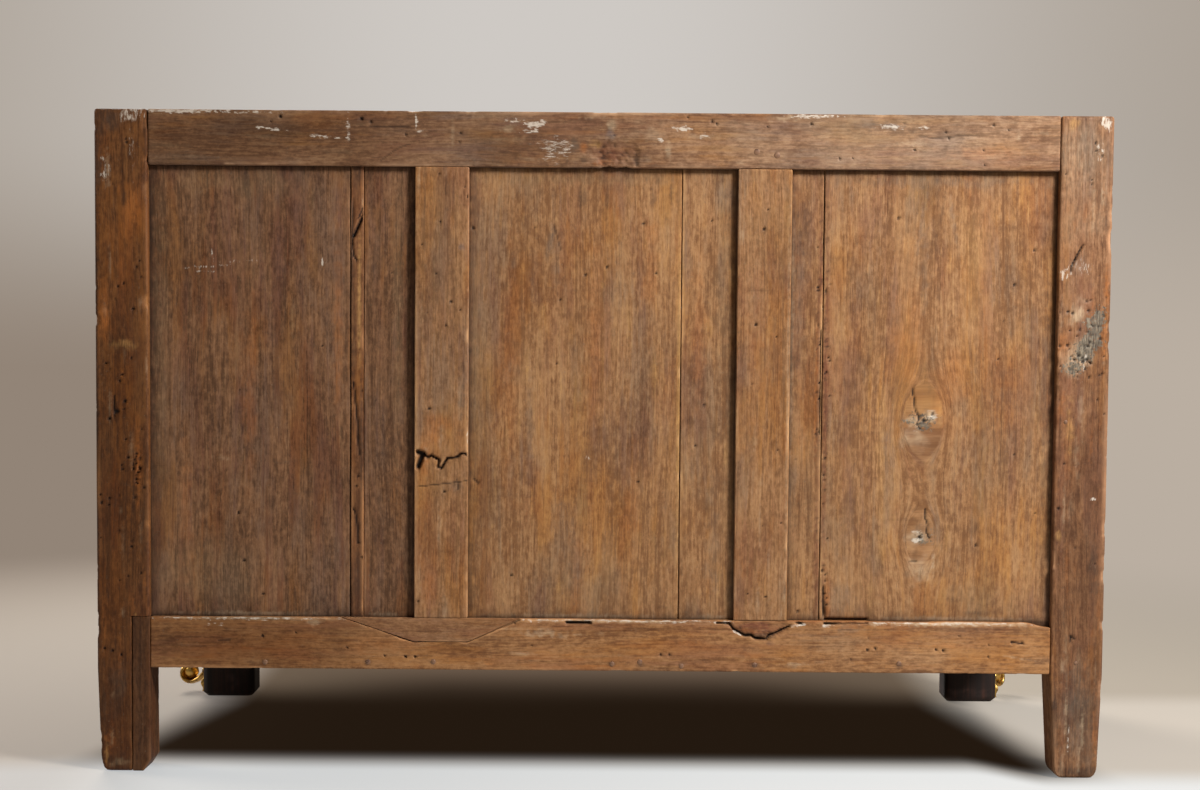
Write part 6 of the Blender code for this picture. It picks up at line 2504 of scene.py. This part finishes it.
    def keyhole_plate(self, put: Callable[[Array], Array]) -> Shape:
        """A waisted oval plate round a keyhole: rings carried from the hole's rim to the outer edge and back.

        Args:
            put: carries local points into place.

        Returns:
            The plate, open in the middle.
        """
        angle = around(96)
        round_part = np.clip(np.sin(angle), 0, 1)
        hole_x = 0.0026 * np.cos(angle) * (1 + 0.5 * round_part)
        hole_z = np.where(np.sin(angle) > 0, 0.0055 * np.sin(angle) + 0.001, 0.0085 * np.sin(angle) + 0.001)
        edge = 1 + 0.09 * np.cos(4 * angle) + 0.03 * np.cos(16 * angle)
        rim_x, rim_z = self.key_half_wide * edge * np.cos(angle), self.key_half_high * edge * np.sin(angle)
        share = np.array([0.0, 0.0, 0.08, 0.3, 0.5, 0.7, 0.84, 0.92, 0.98, 1.0, 1.0])[:, None]
        high = np.array([0.0, 1.2, 2.0, 1.4, 1.2, 1.3, 1.6, 2.1, 1.6, 0.8, 0.0])[:, None] * MM
        x, z = hole_x + (rim_x - hole_x) * share, hole_z + (rim_z - hole_z) * share
        local = np.stack([x, np.broadcast_to(high, x.shape), z], -1)
        hollow = np.broadcast_to(np.clip(0.7 - high / 0.0022, 0, 0.7), local.shape[:2])
        return Shape.of(put(local), {"shade": hollow}, ring=True)


@dataclass
class Inside:
    """Boards of the carcass and drawers that keep their solids."""

    def build(self, finishes: Finishes, nodes: dict[str, bpy.types.Object]) -> None:
        """Gives each solid the oak or iron that it is made of.

        Args:
            finishes: the commode's finishes.
            nodes: the solids by name.
        """
        across = ["bottom_board", "lower_dust_board", "upper_dust_board"]
        across += [f"{drawer}_{part}" for drawer in DRAWERS for part in ("back", "bottom")]
        deep = [f"{drawer}_{side}_side" for drawer in DRAWERS for side, _ in SIDES]
        iron = [f"{drawer}_{part}" for drawer in DRAWERS for part in ("lock", "bolt")]
        dressed = dict.fromkeys(across, finishes.lining_across)
        dressed |= dict.fromkeys(deep, finishes.lining_deep) | dict.fromkeys(iron, finishes.iron)
        for name, finish in dressed.items():
            nodes[name].data.materials.clear()
            nodes[name].data.materials.append(finish)
            log.info("%s: dressed in %s", name, finish.name)


@dataclass
class Studio:
    """Floor, backdrop, lamps and the camera of the photograph."""

    photo_wide: int = 1200
    photo_high: int = 790
    focal: float = 1930.0
    middle_down: float = 451.0
    camera: tuple[float, float, float] = (0.002, 2.722336, 0.542)
    pitch: float = 3.21
    roll: float = 0.45
    sensor: float = 36.0
    floor_radius: float = 40.0
    # The floor's painted light: a dark base colour for the painted shadow under the commode, and glows that
    # paint the lit floor and the shadow's falloff.
    floor: Colour = (0.24, 0.20, 0.157, 1.0)
    floor_shade: Colour = (0.005, 0.0035, 0.0025, 1.0)
    near_glow: Colour = (0.545, 0.595, 0.63, 1.0)
    near_middle_glow: Colour = (0.455, 0.495, 0.525, 1.0)
    near_side_glow: Colour = (0.28, 0.31, 0.34, 1.0)
    left_glow: Colour = (0.175, 0.165, 0.158, 1.0)
    side_glow: Colour = (0.16, 0.15, 0.13, 1.0)
    open_glow: Colour = (0.34, 0.32, 0.29, 1.0)
    dim_glow: Colour = (0.017, 0.0098, 0.0053, 1.0)
    far_glow: Colour = (0.138, 0.095, 0.065, 1.0)
    aside_glow: Colour = (0.147, 0.107, 0.073, 1.0)
    dim_side: Screen = (146, 132, 119)
    bright_side: Screen = (186, 174, 161)
    sky: Screen = (206, 201, 196)
    corner: Screen = (172, 162, 151)

    def build(self) -> None:
        """Makes the stage."""
        self.place_camera()
        self.lay_floor()
        self.hang_lamps()
        self.light_world()

    def place_camera(self) -> None:
        """Looks at the back, pitched down, with the horizon turned by the roll and the frame shifted up."""
        data = bpy.data.cameras.new("photo_camera")
        data.sensor_width = self.sensor
        data.lens = self.focal / self.photo_wide * self.sensor
        data.shift_y = (self.middle_down - self.photo_high / 2) / self.photo_wide
        data.clip_end = 200
        camera = bpy.data.objects.new("photo_camera", data)
        bpy.context.scene.collection.objects.link(camera)
        pitch, roll = math.radians(self.pitch), math.radians(self.roll)
        level_right = np.array([-1.0, 0.0, 0.0])
        level_up = np.array([0.0, -math.sin(pitch), math.cos(pitch)])
        right = math.cos(roll) * level_right + math.sin(roll) * level_up
        up = math.cos(roll) * level_up - math.sin(roll) * level_right
        axes = np.stack([right, up, np.cross(right, up)], axis=1)
        place = Matrix(axes.tolist()).to_4x4()
        place.translation = self.camera
        camera.matrix_world = place
        bpy.context.scene.camera = camera

    def lay_floor(self) -> None:
        """A disc that takes cast shadows, carries a painted shadow under and in front of the commode, glows
        with painted light where it is lit and far off takes on the backdrop's colour.
        """
        angle = around(96)
        radius = np.geomspace(0.05, self.floor_radius, 40)[:, None]
        grid = np.stack([radius * np.cos(angle), radius * np.sin(angle), np.zeros((40, 96))], axis=-1)
        shape = Shape.of(grid)
        shape.caps = shape.caps[:1]
        disc = bpy.data.objects.new("studio_floor", shape.mesh("studio_floor"))
        bpy.context.scene.collection.objects.link(disc)
        disc.data.shade_flat()
        material, wiring, shader = new_material("studio_floor")
        place = wiring.node("ShaderNodeTexCoord").outputs["Object"]
        parts = wiring.node("ShaderNodeSeparateXYZ")
        wiring.put(place, parts.inputs[0])
        x, y = parts.outputs["X"], parts.outputs["Y"]
        length = wiring.node("ShaderNodeVectorMath", operation="LENGTH")
        wiring.put(place, length.inputs[0])
        far = wiring.band(length.outputs["Value"], 0.8, 2.6)
        side = wiring.band(wiring.math("DIVIDE", x, length.outputs["Value"]), 0.2, -0.2)
        apart = wiring.math("ABSOLUTE", wiring.less(x, 0.022))
        slant = wiring.times(wiring.most(y, -0.12), 0.2)
        beside = wiring.band(wiring.less(apart, slant), 0.63, 0.515)
        stepped = wiring.less(y, wiring.band(x, -0.47, -0.56, 0.0, 0.07))
        stepped = wiring.less(stepped, wiring.band(x, 0.57, 0.75, 0.0, 0.04))
        between = wiring.times(wiring.band(y, -0.80, -0.44), wiring.band(stepped, 0.315, 0.18))
        # Painted shadow under and just in front of the commode: dark base colour and dim emission there.
        painted_shadow = wiring.times(beside, between)
        near = wiring.times(wiring.band(stepped, 0.18, 0.315), wiring.band(y, 1.9, 0.4))
        open_side = wiring.times(wiring.band(x, -0.45, -0.62), wiring.band(y, -0.30, -0.15))
        wiring.put(wiring.mix(painted_shadow, self.floor, self.floor_shade), shader.inputs["Base Color"])
        # Painted light: emission on the floor round the commode.
        painted_light = wiring.mix(wiring.band(x, -0.40, 0.50), self.near_glow, self.near_middle_glow)
        painted_light = wiring.mix(wiring.band(x, 0.50, 0.70), painted_light, self.near_side_glow)
        beyond = wiring.mix(open_side, self.side_glow, self.open_glow)
        painted_light = wiring.mix(near, wiring.mix(side, self.left_glow, beyond), painted_light)
        # Painted dim light inside the painted shadow, lighter towards the front.
        fading = wiring.math("POWER", wiring.band(y, 0.0, -0.50), 3.0)
        dusk = wiring.mix(fading, self.dim_glow, self.far_glow)
        aside = wiring.times(wiring.band(apart, 0.20, 0.60), wiring.band(y, -0.12, -0.38))
        dusk = wiring.mix(aside, dusk, self.aside_glow)
        wiring.put(wiring.mix(painted_shadow, painted_light, dusk), shader.inputs["Emission Color"])
        shader.inputs["Emission Strength"].default_value = 1.0
        shader.inputs["Roughness"].default_value = 0.8
        shader.inputs["Specular IOR Level"].default_value = 0.0
        glow = wiring.node("ShaderNodeEmission")
        wiring.put(wiring.mix(side, srgb(*self.dim_side), srgb(*self.bright_side)), glow.inputs["Color"])
        blend = wiring.node("ShaderNodeMixShader")
        wiring.put(far, blend.inputs[0])
        wiring.put(shader.outputs[0], blend.inputs[1])
        wiring.put(glow.outputs[0], blend.inputs[2])
        output = next(node for node in wiring.tree.nodes if node.type == "OUTPUT_MATERIAL")
        wiring.put(blend.outputs[0], output.inputs[0])
        disc.data.materials.append(material)

    def hang_lamps(self) -> None:
        """A near soft box to the upper right of the camera's side, and weak fills for the other sides."""
        for name, place, aim, size, power in (
            ("key_lamp", (-1.60, 1.55, 1.90), (-0.1, 0.3, 0.40), 0.6, 91),
            ("front_fill", (1.5, -3.0, 2.4), (0.0, -0.2, 0.4), 1.6, 190),
            ("side_fill", (3.4, -0.9, 2.0), (0.5, -0.1, 0.4), 1.4, 80),
        ):
            data = bpy.data.lights.new(name, "AREA")
            data.energy, data.size, data.shape = power, size, "DISK"
            lamp = bpy.data.objects.new(name, data)
            bpy.context.scene.collection.objects.link(lamp)
            back = np.array(place) - np.array(aim)
            back = back / np.linalg.norm(back)
            side = np.cross([0.0, 0.0, 1.0], back)
            side = side / np.linalg.norm(side)
            turned_place = Matrix(np.stack([side, np.cross(back, side), back], axis=1).tolist()).to_4x4()
            turned_place.translation = place
            lamp.matrix_world = turned_place

    def light_world(self) -> None:
        """A weak even light, and for the camera a backdrop that pales upwards and towards the middle."""
        world = bpy.data.worlds.new("studio")
        bpy.context.scene.world = world
        world.use_nodes = True
        world.node_tree.nodes.clear()
        wiring = Wiring(world.node_tree)
        direction = wiring.node("ShaderNodeTexCoord").outputs["Generated"]
        parts = wiring.node("ShaderNodeSeparateXYZ")
        wiring.put(direction, parts.inputs[0])
        aside = wiring.math("ABSOLUTE", wiring.less(parts.outputs["X"], 0.03))
        seen = wiring.mix(wiring.band(aside, 0.36, 0.02), srgb(*self.corner), srgb(*self.sky))
        side = wiring.band(parts.outputs["X"], 0.2, -0.2)
        low = wiring.mix(side, srgb(*self.dim_side), srgb(*self.bright_side))
        seen = wiring.mix(wiring.band(parts.outputs["Z"], 0.11, -0.02), seen, low)
        rays = wiring.node("ShaderNodeLightPath").outputs
        direct = wiring.most(rays["Is Camera Ray"], rays["Is Glossy Ray"])
        direct = wiring.most(direct, rays["Is Transmission Ray"])
        backdrop = wiring.node("ShaderNodeBackground")
        wiring.put(seen, backdrop.inputs["Color"])
        wiring.put(wiring.band(rays["Is Glossy Ray"], 0, 1, 1.0, 0.5), backdrop.inputs["Strength"])
        fill = wiring.node("ShaderNodeBackground")
        fill.inputs["Color"].default_value = srgb(250, 246, 242)
        fill.inputs["Strength"].default_value = 0.06
        blend = wiring.node("ShaderNodeMixShader")
        wiring.put(direct, blend.inputs[0])
        wiring.put(fill.outputs[0], blend.inputs[1])
        wiring.put(backdrop.outputs[0], blend.inputs[2])
        output = wiring.node("ShaderNodeOutputWorld")
        wiring.put(blend.outputs[0], output.inputs[0])


def main() -> None:
    """Builds every class in order."""
    logging.basicConfig(level=logging.INFO, format="%(name)s: %(message)s")
    for item in list(bpy.data.objects):
        bpy.data.objects.remove(item)
    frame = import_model()
    bpy.context.scene.view_settings.view_transform = "Standard"
    Studio().build()
    finishes = Finishes()
    RearFrame().build(finishes)
    BackPanels().build(finishes)
    BackFasteners().build(finishes)
    front = Front()
    front.build(finishes)
    Sabots().build(finishes, front)
    Handles().build(finishes, front)
    Inside().build(finishes, frame["nodes"])


if __name__ == "__main__":
    main()
